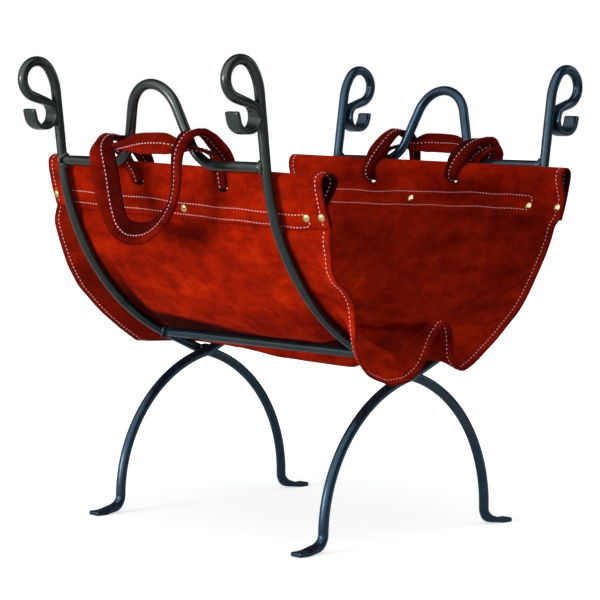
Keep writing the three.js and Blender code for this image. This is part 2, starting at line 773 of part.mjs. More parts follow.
// The far side's straps are the near side's turned half round about the upright through the middle.
function strapGeometry(side, stops, steps) {
  const turn = side === 'near' ? 1 : -1;
  const seat = (x, out, rise) => new THREE.Vector3(turn * x, -turn * out, rise).multiplyScalar(strapReach);
  const railMiddle = new THREE.Vector3(0, -turn * topRail.u, topRail.z);
  const route = new THREE.CatmullRomCurve3(stops.map(([x, out, rise]) => seat(x, out, rise).add(railMiddle)));
  const lay = new THREE.CatmullRomCurve3(stops.map((stop) => {
    const [along, outward, up] = stop[4];
    return new THREE.Vector3(turn * along, -turn * outward, up).normalize();
  }));
  const rings = [];
  for (let i = 0; i <= steps; i += 1) {
    const share = i / steps;
    const centre = route.getPoint(share);
    const tangent = route.getTangent(share);
    const across = lay.getPoint(share);
    across.addScaledVector(tangent, -across.dot(tangent)).normalize();
    const thick = new THREE.Vector3().crossVectors(tangent, across);
    const place = share * (stops.length - 1);
    const from = stops[Math.floor(place)];
    const to = stops[Math.min(stops.length - 1, Math.floor(place) + 1)];
    const halfWidth = mix(from[3], to[3], place - Math.floor(place));
    const narrow = (halfWidth - slim) / (wide - slim);
    const halfThickness = mix(tongueHalfThickness, strapHalfThickness, narrow);
    const ring = [];
    for (let k = 0; k < strapSides; k += 1) {
      const angle = ((k + 0.5) / strapSides) * 2 * Math.PI;
      ring.push(centre.clone()
        .addScaledVector(across, halfWidth * signedPower(Math.cos(angle), roundPower / strapPower))
        .addScaledVector(thick, halfThickness * signedPower(Math.sin(angle), roundPower / strapPower)));
    }
    rings.push(ring);
  }
  return loft(rings);
}

for (const side of ['near', 'far']) {
  addMesh(`${side}_short_strap`, strapGeometry(side, shortShares, 2 * shortShares.length), leatherLook);
  addMesh(`${side}_long_strap`, strapGeometry(side, loopShares, 2 * loopShares.length), leatherLook);
  addMesh(`${side}_strap_tail_left`, strapGeometry(side, leftTailShares, leftTailShares.length), leatherLook);
  addMesh(`${side}_strap_tail_right`, strapGeometry(side, rightTailShares, rightTailShares.length), leatherLook);
}

export default rack;
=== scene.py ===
# Firewood rack: looks for the welded round-bar frame, its leather log sling, the straps and the rivets.
# Lengths are millimetres until a point is placed; Blender's own are metres.
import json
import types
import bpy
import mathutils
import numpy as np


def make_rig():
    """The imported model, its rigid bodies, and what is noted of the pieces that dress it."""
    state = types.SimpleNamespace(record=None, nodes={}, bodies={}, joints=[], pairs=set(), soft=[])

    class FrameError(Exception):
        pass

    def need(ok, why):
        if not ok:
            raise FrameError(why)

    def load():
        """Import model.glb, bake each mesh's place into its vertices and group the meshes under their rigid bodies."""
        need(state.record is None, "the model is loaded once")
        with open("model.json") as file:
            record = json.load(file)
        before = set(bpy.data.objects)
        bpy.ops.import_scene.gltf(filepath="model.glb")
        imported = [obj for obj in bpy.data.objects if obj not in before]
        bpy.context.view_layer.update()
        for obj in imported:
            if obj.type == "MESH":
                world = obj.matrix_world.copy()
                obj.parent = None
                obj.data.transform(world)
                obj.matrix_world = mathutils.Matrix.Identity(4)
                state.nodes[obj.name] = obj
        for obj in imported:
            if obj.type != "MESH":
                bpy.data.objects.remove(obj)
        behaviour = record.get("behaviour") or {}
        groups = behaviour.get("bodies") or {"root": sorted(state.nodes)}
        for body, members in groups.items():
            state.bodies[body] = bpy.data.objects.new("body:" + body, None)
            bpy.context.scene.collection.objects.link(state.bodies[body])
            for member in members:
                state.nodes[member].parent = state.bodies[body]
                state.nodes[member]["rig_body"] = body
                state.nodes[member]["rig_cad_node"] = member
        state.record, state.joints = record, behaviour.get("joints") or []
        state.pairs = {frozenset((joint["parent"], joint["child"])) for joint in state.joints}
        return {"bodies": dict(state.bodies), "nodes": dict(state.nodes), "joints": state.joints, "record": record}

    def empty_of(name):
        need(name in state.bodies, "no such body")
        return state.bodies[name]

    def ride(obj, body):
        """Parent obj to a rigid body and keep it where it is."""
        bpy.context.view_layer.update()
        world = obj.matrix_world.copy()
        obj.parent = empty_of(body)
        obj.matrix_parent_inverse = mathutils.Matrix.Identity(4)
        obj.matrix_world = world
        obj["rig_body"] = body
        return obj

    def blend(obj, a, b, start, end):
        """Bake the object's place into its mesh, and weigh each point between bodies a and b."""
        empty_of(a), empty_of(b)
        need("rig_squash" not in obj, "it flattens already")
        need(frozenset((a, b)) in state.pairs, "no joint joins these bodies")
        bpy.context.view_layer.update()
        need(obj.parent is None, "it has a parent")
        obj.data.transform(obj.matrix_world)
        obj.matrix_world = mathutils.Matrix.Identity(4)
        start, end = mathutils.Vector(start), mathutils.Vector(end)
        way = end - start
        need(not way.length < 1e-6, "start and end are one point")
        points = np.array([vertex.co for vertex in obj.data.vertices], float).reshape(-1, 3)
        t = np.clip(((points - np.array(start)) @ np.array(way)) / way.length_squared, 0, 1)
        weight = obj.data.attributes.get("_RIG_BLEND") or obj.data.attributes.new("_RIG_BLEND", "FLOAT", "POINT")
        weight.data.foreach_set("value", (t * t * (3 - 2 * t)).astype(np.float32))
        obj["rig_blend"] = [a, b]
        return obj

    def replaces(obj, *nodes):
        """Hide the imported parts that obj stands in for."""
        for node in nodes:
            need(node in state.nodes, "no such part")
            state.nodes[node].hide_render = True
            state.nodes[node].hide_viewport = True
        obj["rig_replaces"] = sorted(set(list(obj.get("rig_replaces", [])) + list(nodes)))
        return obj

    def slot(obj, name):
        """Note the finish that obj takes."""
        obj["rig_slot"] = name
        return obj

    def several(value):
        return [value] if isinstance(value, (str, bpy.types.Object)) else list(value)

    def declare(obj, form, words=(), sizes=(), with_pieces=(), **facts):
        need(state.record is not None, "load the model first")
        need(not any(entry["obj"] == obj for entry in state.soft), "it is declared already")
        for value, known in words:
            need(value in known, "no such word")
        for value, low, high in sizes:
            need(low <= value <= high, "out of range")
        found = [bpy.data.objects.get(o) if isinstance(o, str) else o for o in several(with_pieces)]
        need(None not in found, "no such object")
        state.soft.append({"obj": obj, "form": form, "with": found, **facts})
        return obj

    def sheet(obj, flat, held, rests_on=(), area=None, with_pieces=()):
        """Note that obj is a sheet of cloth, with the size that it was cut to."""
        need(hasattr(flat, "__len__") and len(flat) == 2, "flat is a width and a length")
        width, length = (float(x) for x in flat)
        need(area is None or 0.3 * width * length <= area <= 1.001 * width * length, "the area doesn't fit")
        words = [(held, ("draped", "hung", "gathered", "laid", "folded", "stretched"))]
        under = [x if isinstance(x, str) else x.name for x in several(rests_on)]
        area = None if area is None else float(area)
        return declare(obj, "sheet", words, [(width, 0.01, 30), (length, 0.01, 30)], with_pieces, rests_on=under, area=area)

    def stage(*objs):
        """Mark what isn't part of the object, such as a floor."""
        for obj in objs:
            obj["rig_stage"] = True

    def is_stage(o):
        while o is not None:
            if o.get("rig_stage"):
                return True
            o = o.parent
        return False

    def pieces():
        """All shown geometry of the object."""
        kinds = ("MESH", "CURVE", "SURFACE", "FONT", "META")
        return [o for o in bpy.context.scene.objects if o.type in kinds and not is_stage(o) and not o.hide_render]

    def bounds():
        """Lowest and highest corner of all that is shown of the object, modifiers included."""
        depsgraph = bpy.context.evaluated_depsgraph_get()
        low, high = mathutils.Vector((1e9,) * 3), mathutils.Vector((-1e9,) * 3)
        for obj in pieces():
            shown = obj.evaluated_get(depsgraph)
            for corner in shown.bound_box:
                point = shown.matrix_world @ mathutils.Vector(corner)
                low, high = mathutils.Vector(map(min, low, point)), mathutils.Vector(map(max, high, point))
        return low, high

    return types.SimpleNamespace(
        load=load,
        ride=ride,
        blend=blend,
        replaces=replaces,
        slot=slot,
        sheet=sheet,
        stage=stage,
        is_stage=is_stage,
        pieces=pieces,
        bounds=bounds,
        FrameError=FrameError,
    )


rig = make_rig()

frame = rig.load()
cad_low, cad_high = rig.bounds()

import json
import math

import bpy
from mathutils import Matrix, Vector, noise
from mathutils.bvhtree import BVHTree

mm = 0.001
degree = math.pi / 180
quarter_turn = math.pi / 2

# Camera
camera_place = (2235.05, -2132.63, 523.15)
camera_azimuth = 46.42 * degree
camera_elevation = 4.451 * degree
camera_roll = 0.765 * degree
camera_lens = 144.84
camera_sensor = 36.0
camera_far_clip = 100

# Light and floor, in metres, with the lamps' azimuth, elevation, distance, size, watts and colour
white = (1, 1, 1)
fill_level = 0.35
fill_tint = (0.9, 1.07, 1.1)
shine_way = (0.12, -0.97, 0.2)
shine_spread = (0.1, 0.95)
shine_dimming = (0.94, -1.2)
floor_half = 30
floor_tone = 0.86
floor_glow = (0.62, 1)
glow_distances = (0.3, 1.1)
lamp_aim = 0.3
lamps = {
    "key": (-8 * degree, 7 * degree, 3.0, (1.4, 0.7), 50, (1, 0.97, 0.93)),
    "top": (60 * degree, 70 * degree, 3.0, (2.2, 2.2), 16, white),
    "rim": (150 * degree, 25 * degree, 3.2, (1.4, 1.8), 10, (0.9, 0.95, 1)),
}

# Where a blue reflection is painted into the iron, in metres: below the first height and wholly below the second, and
# far back
blue_reflection_heights = (0.34, 0.16)
blue_reflection_depth = 0.25
olive_reflection_tint = (0.66, 0.76, 0.7)
blue_reflection_tint = (0.32, 0.56, 0.84)
# Near-black that stands in for shade on the leather: painted shade
painted_shade_colour = (0.002, 0.0006, 0.0008)

# Frame
gap = 0.3
bar_radius = 6.35
frame_spacing = 380
crossing_height = 203
leg_slope = 14 * degree
leg_straight = 10
ankle_top = 22
ankle_radius = 16
foot_slope = 12 * degree
toe_length = 13
toe_width = 19
toe_thickness = 6
toe_flattening = 34
toe_dent = 0.5
sole_trim = 0.4
cradle_slope = 23.5 * degree
cradle_straight = 73
cradle_radius = 288
post_lean = 7.5 * degree
post_length = 87
neck_radius = 60
neck_turn = 30 * degree
scroll_radius = 22.5
curl_radius = 17
curl_drop = 43.5
curl_end_lean = 15 * degree
curl_end_length = 9
curl_width = 22.5
curl_thickness = 5.4
curl_dent = 0.6
dent_size = 7
edge_dent_size = 9
hoop_height = 98
hoop_lean = 12 * degree
hoop_radius = 44
hoop_flare = 20 * degree
hoop_sweep_radius = 42
weld_bead = 2.3
weld_ripple = 0.35
crossing_weld_radius = 3.4
crossing_weld_offset = 5.6
crossing_weld_length = 17
crossing_weld_slope = 0.16
rail_bury = 3.5
bar_shift = bar_radius + gap / 2
wall_turn = quarter_turn - post_lean - cradle_slope

# Leather sling
hide_thickness = 2.4
ply_gap = 0.6
hide_left = -252
hide_right = 252
hem_reach = 200
floor_radius = 40
flap_length = 64
flap_drop = 62
band_height = 24
sleeve_bulge = 11
sleeve_mouth = {"near": 12, "far": 2}
hem_pinch = {"near": 9, "far": 0}
band_inset = 3
top_inset = 2
skew = {"near": 13, "far": 7}
ridge_height = 62
ridge_low_share = 0.85
ridge_start = -120
ridge_full = 60
wall_bulge = 12
bulge_edge = 180
bulge_run = 45
sag_start = -200
sag_run = 270
floor_share = 0.21
wrinkle = 0.9
wrinkle_size = 46
fold_length = 70
fold_slant = 38
fold_depth = 60
fold_height = 80
fold_lean = 300
bar_hold = 22
hold_height = 395
hold_run = 60
clear_edge = 183
clear_run = 33
least_stretch = 0.3
least_step = 0.1
fine_step = 4.2
long_step = 7.2
cut_reach = 30
slot_rise = 42
slot_half_height = 5.2
slot_half_width = 9.4
near_slots = (-64, 90)

# Straps
strap_reach = 100
strap_half_width = 12
strap_lip_width = 14
tongue_lip_width = 10
roll_half_thickness = 4.4
flange_half_thickness = 2.3
tongue_half_width = 9
tongue_half_thickness = 2.2
strap_sway = 0.3
strap_sway_size = 14
bend_length = 24

# Rivets and thread
rivet_radius = 5.0
rivet_dome = 2.4
rivet_sink = 0.6
rivet_flange = 0.2
rivet_lip = 0.5
rivet_tip = 0.05
rivet_rise = 12
hem_rivet_inset = 8
band_rivets = {"near": (-206, 14, 224), "far": (-175, -14, 196)}
stitch_pitch = 5.2
stitch_length = 3.3
stitch_width = 1.5
stitch_height = 1.0
stitch_lift = 0.3
hem_stitch_inset = 9
band_corner = 4
band_step = 6
band_sway = 1.6
band_sway_size = 45
band_rise_size = 50
feeler = 60

sides = {"near": -1, "far": 1}
ends = {"left": -1, "right": 1}


def smooth(share):
    held = min(1.0, max(0.0, share))
    return held * held * (3 - 2 * held)


def mix(start, end, share):
    return start + (end - start) * share


def new_object(name, data):
    made = bpy.data.objects.new(name, data)
    bpy.context.scene.collection.objects.link(made)
    return made


def make_camera():
    look = Vector((
        -math.sin(camera_azimuth) * math.cos(camera_elevation),
        math.cos(camera_azimuth) * math.cos(camera_elevation),
        -math.sin(camera_elevation),
    ))
    level_right = look.cross(Vector((0, 0, 1))).normalized()
    level_up = level_right.cross(look)
    right = math.cos(camera_roll) * level_right + math.sin(camera_roll) * level_up
    up = -math.sin(camera_roll) * level_right + math.cos(camera_roll) * level_up
    camera = new_object("camera", bpy.data.cameras.new("camera"))
    camera.data.lens = camera_lens
    camera.data.sensor_width = camera_sensor
    camera.data.clip_end = camera_far_clip
    turn = Matrix((right, up, -look)).transposed().to_4x4()
    camera.matrix_world = Matrix.Translation(Vector(camera_place) * mm) @ turn
    bpy.context.scene.camera = camera


def add_lamp(name, azimuth, elevation, distance, size, energy, colour):
    lamp = bpy.data.lights.new(name, "AREA")
    lamp.shape = "RECTANGLE"
    lamp.size, lamp.size_y = size
    lamp.energy = energy
    lamp.color = colour
    holder = new_object(name, lamp)
    back = Vector((
        math.sin(azimuth) * math.cos(elevation),
        -math.cos(azimuth) * math.cos(elevation),
        math.sin(elevation),
    ))
    place = Vector((0, 0, lamp_aim)) + back * distance
    holder.matrix_world = Matrix.Translation(place) @ back.to_track_quat("Z", "Y").to_matrix().to_4x4()


# Sets a node's inputs: a socket is linked and anything else is its value.
def fill_in(tree, made, inputs):
    for socket, value in inputs.items():
        if isinstance(value, bpy.types.NodeSocket):
            tree.links.new(value, made.inputs[socket])
        else:
            made.inputs[socket].default_value = value


def node(tree, kind, inputs=None, **settings):
    made = tree.nodes.new(kind)
    for name, value in settings.items():
        setattr(made, name, value)
    fill_in(tree, made, inputs or {})
    return made


def maths(tree, operation, first, second, **settings):
    return node(tree, "ShaderNodeMath", {0: first, 1: second}, operation=operation, **settings).outputs[0]


def map_range(tree, value, source, target, **settings):
    inputs = {
        "Value": value,
        "From Min": source[0],
        "From Max": source[1],
        "To Min": target[0],
        "To Max": target[1],
    }
    return node(tree, "ShaderNodeMapRange", inputs, **settings).outputs["Result"]


def blend_colours(tree, share, first, second, how="MIX"):
    inputs = {0: share}
    for socket, colour in ((6, first), (7, second)):
        inputs[socket] = colour if isinstance(colour, bpy.types.NodeSocket) else (*colour, 1)
    return node(tree, "ShaderNodeMix", inputs, data_type="RGBA", blend_type=how).outputs[2]


# White to the camera and a soft fill to the object, with the reflections brightest on one side
def make_world():
    world = bpy.data.worlds.new("studio")
    bpy.context.scene.world = world
    world.use_nodes = True
    tree = world.node_tree
    tree.nodes.clear()
    rays = node(tree, "ShaderNodeLightPath").outputs
    seen = maths(tree, "MAXIMUM", rays["Is Camera Ray"], rays["Is Glossy Ray"])
    plain = maths(tree, "MAXIMUM", seen, rays["Is Transmission Ray"])
    level = map_range(tree, plain, (0, 1), (fill_level, 1))
    tint = blend_colours(tree, plain, fill_tint, white)
    places = node(tree, "ShaderNodeTexCoord").outputs["Generated"]
    toward = node(tree, "ShaderNodeVectorMath", {0: places, 1: shine_way}, operation="DOT_PRODUCT")
    turned_away = toward.outputs["Value"]
    front = map_range(tree, turned_away, shine_spread, shine_dimming, interpolation_type="SMOOTHSTEP")
    kept = maths(tree, "SUBTRACT", 1, maths(tree, "MULTIPLY", front, rays["Is Glossy Ray"]))
    strength = maths(tree, "MULTIPLY", level, kept)
    sky = node(tree, "ShaderNodeBackground", {"Color": tint, "Strength": strength})
    node(tree, "ShaderNodeOutputWorld", {"Surface": sky.outputs[0]})


# A pale floor that glows for the camera alone, to plain white away from the object
def make_floor():
    mesh = bpy.data.meshes.new("floor")
    corners = [(x * floor_half, y * floor_half, 0) for x, y in ((-1, -1), (1, -1), (1, 1), (-1, 1))]
    mesh.from_pydata(corners, [], [(0, 1, 2, 3)])
    floor = new_object("floor", mesh)
    paint = bpy.data.materials.new("pale_floor")
    paint.use_nodes = True
    tree = paint.node_tree
    tree.nodes.clear()
    rays = node(tree, "ShaderNodeLightPath").outputs
    places = node(tree, "ShaderNodeTexCoord").outputs["Object"]
    away = node(tree, "ShaderNodeVectorMath", {0: places}, operation="LENGTH").outputs["Value"]
    glow_level = map_range(tree, away, glow_distances, floor_glow, interpolation_type="SMOOTHSTEP")
    shown = maths(tree, "MULTIPLY", rays["Is Camera Ray"], glow_level)
    matte = node(tree, "ShaderNodeBsdfDiffuse", {"Color": (floor_tone, floor_tone, floor_tone, 1)})
    glow = node(tree, "ShaderNodeEmission", {"Strength": shown})
    both = node(tree, "ShaderNodeAddShader", {0: matte.outputs[0], 1: glow.outputs[0]})
    node(tree, "ShaderNodeOutputMaterial", {"Surface": both.outputs[0]})
    mesh.materials.append(paint)
    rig.stage(floor)


make_camera()
bpy.context.scene.view_settings.view_transform = "Standard"
make_world()
make_floor()
for name, settings in lamps.items():
    add_lamp(name, *settings)


def new_finish(name):
    finish = bpy.data.materials.new(name)
    finish.use_nodes = True
    tree = finish.node_tree
    places = node(tree, "ShaderNodeTexCoord").outputs["Object"]
    return finish, tree, tree.nodes["Principled BSDF"], places


def noise_at(tree, places, scale, detail=4, roughness=0.55, stretch=None):
    if stretch:
        mapping = node(tree, "ShaderNodeMapping", {"Vector": places, "Scale": stretch})
        places = mapping.outputs["Vector"]
    inputs = {"Vector": places, "Scale": scale, "Detail": detail, "Roughness": roughness}
    return node(tree, "ShaderNodeTexNoise", inputs).outputs["Fac"]


def ramp(tree, source, stops):
    made = node(tree, "ShaderNodeValToRGB", {"Fac": source})
    made.color_ramp.interpolation = "EASE"
    while len(made.color_ramp.elements) < len(stops):
        made.color_ramp.elements.new(0.5)
    for element, (place, colour) in zip(made.color_ramp.elements, stops):
        element.position = place
        element.color = (*colour, 1)
    return made.outputs["Color"]


# Layers: a height, its strength and its depth in millimetres
def bump(tree, shader, layers):
    last = None
    for height, strength, depth in layers:
        made = node(tree, "ShaderNodeBump", {"Height": height, "Strength": strength, "Distance": depth * mm})
        if last:
            tree.links.new(last, made.inputs["Normal"])
        last = made.outputs["Normal"]
    tree.links.new(last, shader.inputs["Normal"])


# Warm black with a blue reflection painted into both its colour and its shine's tint, towards the floor and the far
# side
def iron_finish(name, olive_black, reflected_blue_black, low_rough, high_rough):
    finish, tree, shader, places = new_finish(name)
    wide_noise = noise_at(tree, places, 6, 3)
    fine_noise = noise_at(tree, places, 60, 5, 0.65)
    parts = node(tree, "ShaderNodeSeparateXYZ", {0: places}).outputs
    low = map_range(tree, parts["Z"], blue_reflection_heights, (0, 1))
    far = map_range(tree, parts["Y"], (0, blue_reflection_depth), (0, 1))
    spread = map_range(tree, wide_noise, (0.35, 0.65), (-0.35, 0.35))
    # How much painted blue reflection there is at each point, by height and depth
    blue_reflection_share = maths(tree, "ADD", maths(tree, "MAXIMUM", low, far), spread, use_clamp=True)
    tone = blend_colours(tree, blue_reflection_share, olive_black, reflected_blue_black)
    tone_marks = ramp(tree, fine_noise, [(0.3, (0.5, 0.5, 0.5)), (0.7, (1.3, 1.3, 1.3))])
    fill_in(tree, shader, {
        "Base Color": blend_colours(tree, 1.0, tone, tone_marks, "MULTIPLY"),
        "Roughness": map_range(tree, fine_noise, (0, 1), (low_rough, high_rough)),
        "Metallic": 0.1,
        "Specular IOR Level": 1.0,
        "Specular Tint": blend_colours(tree, blue_reflection_share, olive_reflection_tint, blue_reflection_tint),
    })
    dents, grain = noise_at(tree, places, 35, 3), noise_at(tree, places, 420, 4)
    bump(tree, shader, [(dents, 0.5, 0.5), (grain, 0.35, 0.12)])
    return finish


# Clouded, brushed nap: the attribute "rim" says where it is a cut edge, and the second attribute where shade is
# painted in as near-black.
def suede_finish(name, deep, middle, bright, rim_colour):
    finish, tree, shader, places = new_finish(name)
    streaks = noise_at(tree, places, 11, 4, 0.6, (0.7, 1.6, 2.6))
    brushed = noise_at(tree, places, 45, 5, 0.7, (1.0, 1.0, 1.6))
    nap = noise_at(tree, places, 900, 3, 0.7)
    tone = ramp(tree, noise_at(tree, places, 7, 5, 0.6), [(0.34, deep), (0.52, middle), (0.7, bright)])
    layers = (
        (0.75, streaks, (0.34, (0.62, 0.55, 0.5)), (0.66, (1.2, 1.25, 1.3))),
        (0.8, brushed, (0.36, (0.72, 0.62, 0.6)), (0.64, (1.2, 1.35, 1.3))),
        (0.7, nap, (0.3, (0.72, 0.7, 0.7)), (0.7, (1.2, 1.2, 1.2))),
    )
    for share, pattern, dark, light in layers:
        tone = blend_colours(tree, share, tone, ramp(tree, pattern, [dark, light]), "MULTIPLY")
    # The cut edge's own tone, then painted shade blended in where the second attribute says
    for attribute, colour in (("rim", rim_colour), ("painted_shade", painted_shade_colour)):
        tone_marks = node(tree, "ShaderNodeAttribute", attribute_name=attribute)
        tone = blend_colours(tree, tone_marks.outputs["Fac"], tone, colour)
    fill_in(tree, shader, {"Base Color": tone, "Roughness": 0.92, "Specular IOR Level": 0.03})
    bump(tree, shader, [(noise_at(tree, places, 26, 4, 0.6, (1.0, 1.0, 1.8)), 0.5, 1.6), (nap, 0.5, 0.35)])
    return finish


# Small dark and light marks, pressed in by a strength and a depth
def marked_finish(name, scale, detail, dark, light, relief, values):
    finish, tree, shader, places = new_finish(name)
    marks = noise_at(tree, places, scale, detail)
    tone = ramp(tree, marks, [(0.3, dark), (0.7, light)])
    fill_in(tree, shader, {"Base Color": tone, **values})
    bump(tree, shader, [(marks, *relief)])
    return finish


blackened_iron = iron_finish("blackened_iron", (0.012, 0.016, 0.013), (0.006, 0.02, 0.034), 0.18, 0.3)
weld_iron = iron_finish("weld_iron", (0.034, 0.03, 0.026), (0.02, 0.034, 0.046), 0.3, 0.5)
suede = suede_finish(
    "rust_suede", (0.25, 0.0075, 0.0006), (0.41, 0.0125, 0.0007), (0.53, 0.02, 0.0009), (0.13, 0.0032, 0.004)
)
strap_suede = suede_finish(
    "strap_suede", (0.15, 0.004, 0.0012), (0.27, 0.0085, 0.0016), (0.36, 0.013, 0.002), (0.08, 0.002, 0.003)
)
shine = {"Metallic": 1.0, "Roughness": 0.22}
brass = marked_finish("polished_brass", 500, 3, (0.62, 0.4, 0.13), (0.93, 0.72, 0.36), (0.2, 0.08), shine)
wax = {"Roughness": 0.6}
thread = marked_finish("waxed_thread", 1500, 2, (0.85, 0.46, 0.5), (1.0, 0.72, 0.76), (0.4, 0.1), wax)


# For each body that swings on the sling: the two points between which its leather bends
bends = {}


def make_piece(name, points, faces, finish, body, replaced=(), slot=None, shades=None):
    mesh = bpy.data.meshes.new(name)
    mesh.from_pydata([tuple(Vector(p) * mm) for p in points], [], faces)
    mesh.validate()
    mesh.shade_smooth()
    for label, values in (shades or {}).items():
        mesh.attributes.new(label, "FLOAT", "POINT").data.foreach_set("value", values)
    mesh.materials.append(finish)
    piece = new_object(name, mesh)
    if body:
        settle(piece, body, replaced, slot)
    return piece


def settle(piece, body, replaced=(), slot=None):
    if body in bends:
        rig.blend(piece, "sling", body, *bends[body])
    else:
        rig.ride(piece, body)
    if replaced:
        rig.replaces(piece, *replaced)
    if slot:
        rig.slot(piece, slot)


# A loft through rings of equal count, closed at each end by a fan round the end ring's middle
def loft(rings):
    count = len(rings[0])
    points = [p for ring in rings for p in ring]
    faces = []
    for i in range(len(rings) - 1):
        for k in range(count):
            a = i * count + k
            b = i * count + (k + 1) % count
            faces.append((a, b, b + count, a + count))
    for base, ring, turned in ((0, rings[0], True), ((len(rings) - 1) * count, rings[-1], False)):
        middle = len(points)
        points.append(sum((Vector(p) for p in ring), Vector()) / count)
        for k in range(count):
            a, b = base + k, base + (k + 1) % count
            faces.append((b, a, middle) if turned else (a, b, middle))
    return outward(points, faces)


def outward(points, faces):
    volume = 0.0
    for face in faces:
        first = Vector(points[face[0]])
        for k in range(1, len(face) - 1):
            volume += first.dot(Vector(points[face[k]]).cross(Vector(points[face[k + 1]])))
    if volume < 0:
        faces = [tuple(reversed(face)) for face in faces]
    return points, faces


def signed_power(value, power):
    return math.copysign(abs(value) ** power, value)


# Planar paths: u runs outward, z up, and a heading is the angle above the u axis.
class Pen:
    arc_step = 2.2

    def __init__(self, u, z, heading):
        self.u, self.z, self.heading, self.travel = u, z, heading, 0.0
        self.stations = []
        self.mark()

    def mark(self):
        self.stations.append((self.u, self.z, self.heading, self.travel))

    def straight(self, length, pieces=1):
        for _ in range(pieces):
            self.u += length / pieces * math.cos(self.heading)
            self.z += length / pieces * math.sin(self.heading)
            self.travel += length / pieces
            self.mark()

    def arc(self, radius, turn):
        count = max(2, math.ceil(abs(turn) * radius / self.arc_step))
        step = turn / count
        chord = 2 * radius * math.sin(abs(step) / 2)
        for _ in range(count):
            self.heading += step / 2
            self.u += chord * math.cos(self.heading)
            self.z += chord * math.sin(self.heading)
            self.heading += step / 2
            self.travel += radius * abs(step)
            self.mark()


def leg_path():
    leg_radius = (crossing_height - leg_straight * math.sin(leg_slope) - ankle_top) / math.cos(leg_slope)
    pen = Pen(0, crossing_height, math.pi + leg_slope)
    pen.straight(leg_straight, 4)
    pen.arc(leg_radius, quarter_turn - leg_slope)
    pen.arc(ankle_radius, foot_slope - quarter_turn)
    toe_centre = toe_thickness / 2 - sole_trim
    pen.straight((pen.z - toe_centre) / math.sin(foot_slope), 8)
    pen.heading = math.pi
    pen.straight(toe_length, 6)
    return pen


def post_path():
    pen = Pen(0, crossing_height, cradle_slope)
    pen.straight(cradle_straight, 10)
    lower_rail = (pen.u, pen.z, pen.heading)
    pen.arc(cradle_radius, wall_turn)
    top_rail = (pen.u, pen.z, pen.heading)
    pen.straight(post_length, 10)
    pen.arc(neck_radius, -neck_turn)
    scroll_u = pen.u + scroll_radius * math.sin(pen.heading)
    scroll_z = pen.z - scroll_radius * math.cos(pen.heading)
    curl_z = scroll_z - curl_drop
    post_u = top_rail[0] + (curl_z - top_rail[1]) * math.tan(post_lean)
    curl_u = post_u + bar_radius / math.cos(post_lean) + gap + curl_thickness / 2 + curl_radius
    apart = math.hypot(curl_u - scroll_u, curl_z - scroll_z)
    radii = scroll_radius + curl_radius
    strand = math.sqrt(apart * apart - radii * radii)
    return_heading = math.atan2(curl_z - scroll_z, curl_u - scroll_u) - math.atan2(radii, strand)
    pen.arc(scroll_radius, return_heading - pen.heading)
    flat_start = pen.travel
    pen.straight(strand, 4)
    flat_end = pen.travel + curl_radius * (-quarter_turn - return_heading)
    pen.arc(curl_radius, quarter_turn - curl_end_lean - return_heading)
    pen.straight(curl_end_length, 4)
    return pen, lower_rail, top_rail, flat_start, flat_end


leg = leg_path()
post, lower_rail, top_rail, flat_start, flat_end = post_path()
bar_sides = 28
round_power = 2
flat_power = 5
end_reach_share = 0.8
end_turns = (25, 50, 72)
toe_half = (toe_width / 2, toe_thickness / 2)
curl_half = (curl_width / 2, curl_thickness / 2)


def bar_ring(station, half_width, half_thickness, power, place, hammered=0.0):
    u0, z0, heading = station[:3]
    ring = []
    for k in range(bar_sides):
        angle = (k + 0.5) / bar_sides * 2 * math.pi
        across = half_width * signed_power(math.cos(angle), 2 / power)
        out = half_thickness * signed_power(math.sin(angle), 2 / power)
        if hammered:
            face, edge = math.copysign(9, out), math.copysign(3, across)
            dent = noise.noise(Vector((across, u0, z0)) / dent_size + Vector((0, 0, face)))
            out += math.copysign(hammered * dent, out)
            across += 0.5 * hammered * noise.noise(Vector((u0 / edge_dent_size, z0 / edge_dent_size, edge)))
        ring.append(place(across, u0 - out * math.sin(heading), z0 + out * math.cos(heading)))
    return ring


# A few closing rings that round off a bar's end
def rounded_end(station, forward, half_width, half_thickness, power, place, hammered):
    rings = []
    reach = min(half_width, half_thickness) * end_reach_share
    for turn in end_turns:
        ahead = reach * math.sin(turn * degree)
        inset = reach * (1 - math.cos(turn * degree))
        u, z, heading = station[0] + forward * ahead * math.cos(station[2]), station[1], station[2]
        z += forward * ahead * math.sin(station[2])
        width, thickness = half_width - inset, half_thickness - inset
        rings.append(bar_ring((u, z, heading), width, thickness, power, place, hammered))
    return rings


def bar_x(end, side):
    return ends[end] * frame_spacing / 2 + sides[side] * bar_shift


def bar_rings(end, side):
    x = bar_x(end, side)

    def place(across, u, z):
        return Vector((x + across, sides[side] * u, max(0.0, z)))

    def flattened(station, flat, half_sizes, dent):
        half_width, half_thickness = (mix(bar_radius, flat_size, flat) for flat_size in half_sizes)
        power = mix(round_power, flat_power, flat)
        return bar_ring(station, half_width, half_thickness, power, place, dent * flat)

    rings = []
    leg_up = [((u, z, heading - math.pi), travel) for u, z, heading, travel in reversed(leg.stations[1:])]
    rings += reversed(rounded_end(leg_up[0][0], -1, *toe_half, flat_power, place, toe_dent))
    for station, travel in leg_up:
        flat = smooth(1 - (leg.travel - travel - toe_length) / toe_flattening)
        rings.append(flattened(station, flat, toe_half, toe_dent))
    crossing = (0, crossing_height, (leg_slope + cradle_slope) / 2)
    rings.append(bar_ring(crossing, bar_radius, bar_radius, round_power, place))
    for station in post.stations[1:]:
        flat = smooth((station[3] - flat_start) / (flat_end - flat_start))
        rings.append(flattened(station, flat, curl_half, curl_dent))
    rings += rounded_end(post.stations[-1], 1, *curl_half, flat_power, place, curl_dent)
    return rings


def iron_piece(name, kind, shape, finish=blackened_iron, slot="blackened_bar"):
    make_piece(f"{name}_{kind}", *shape, finish, "frame", [name], slot)


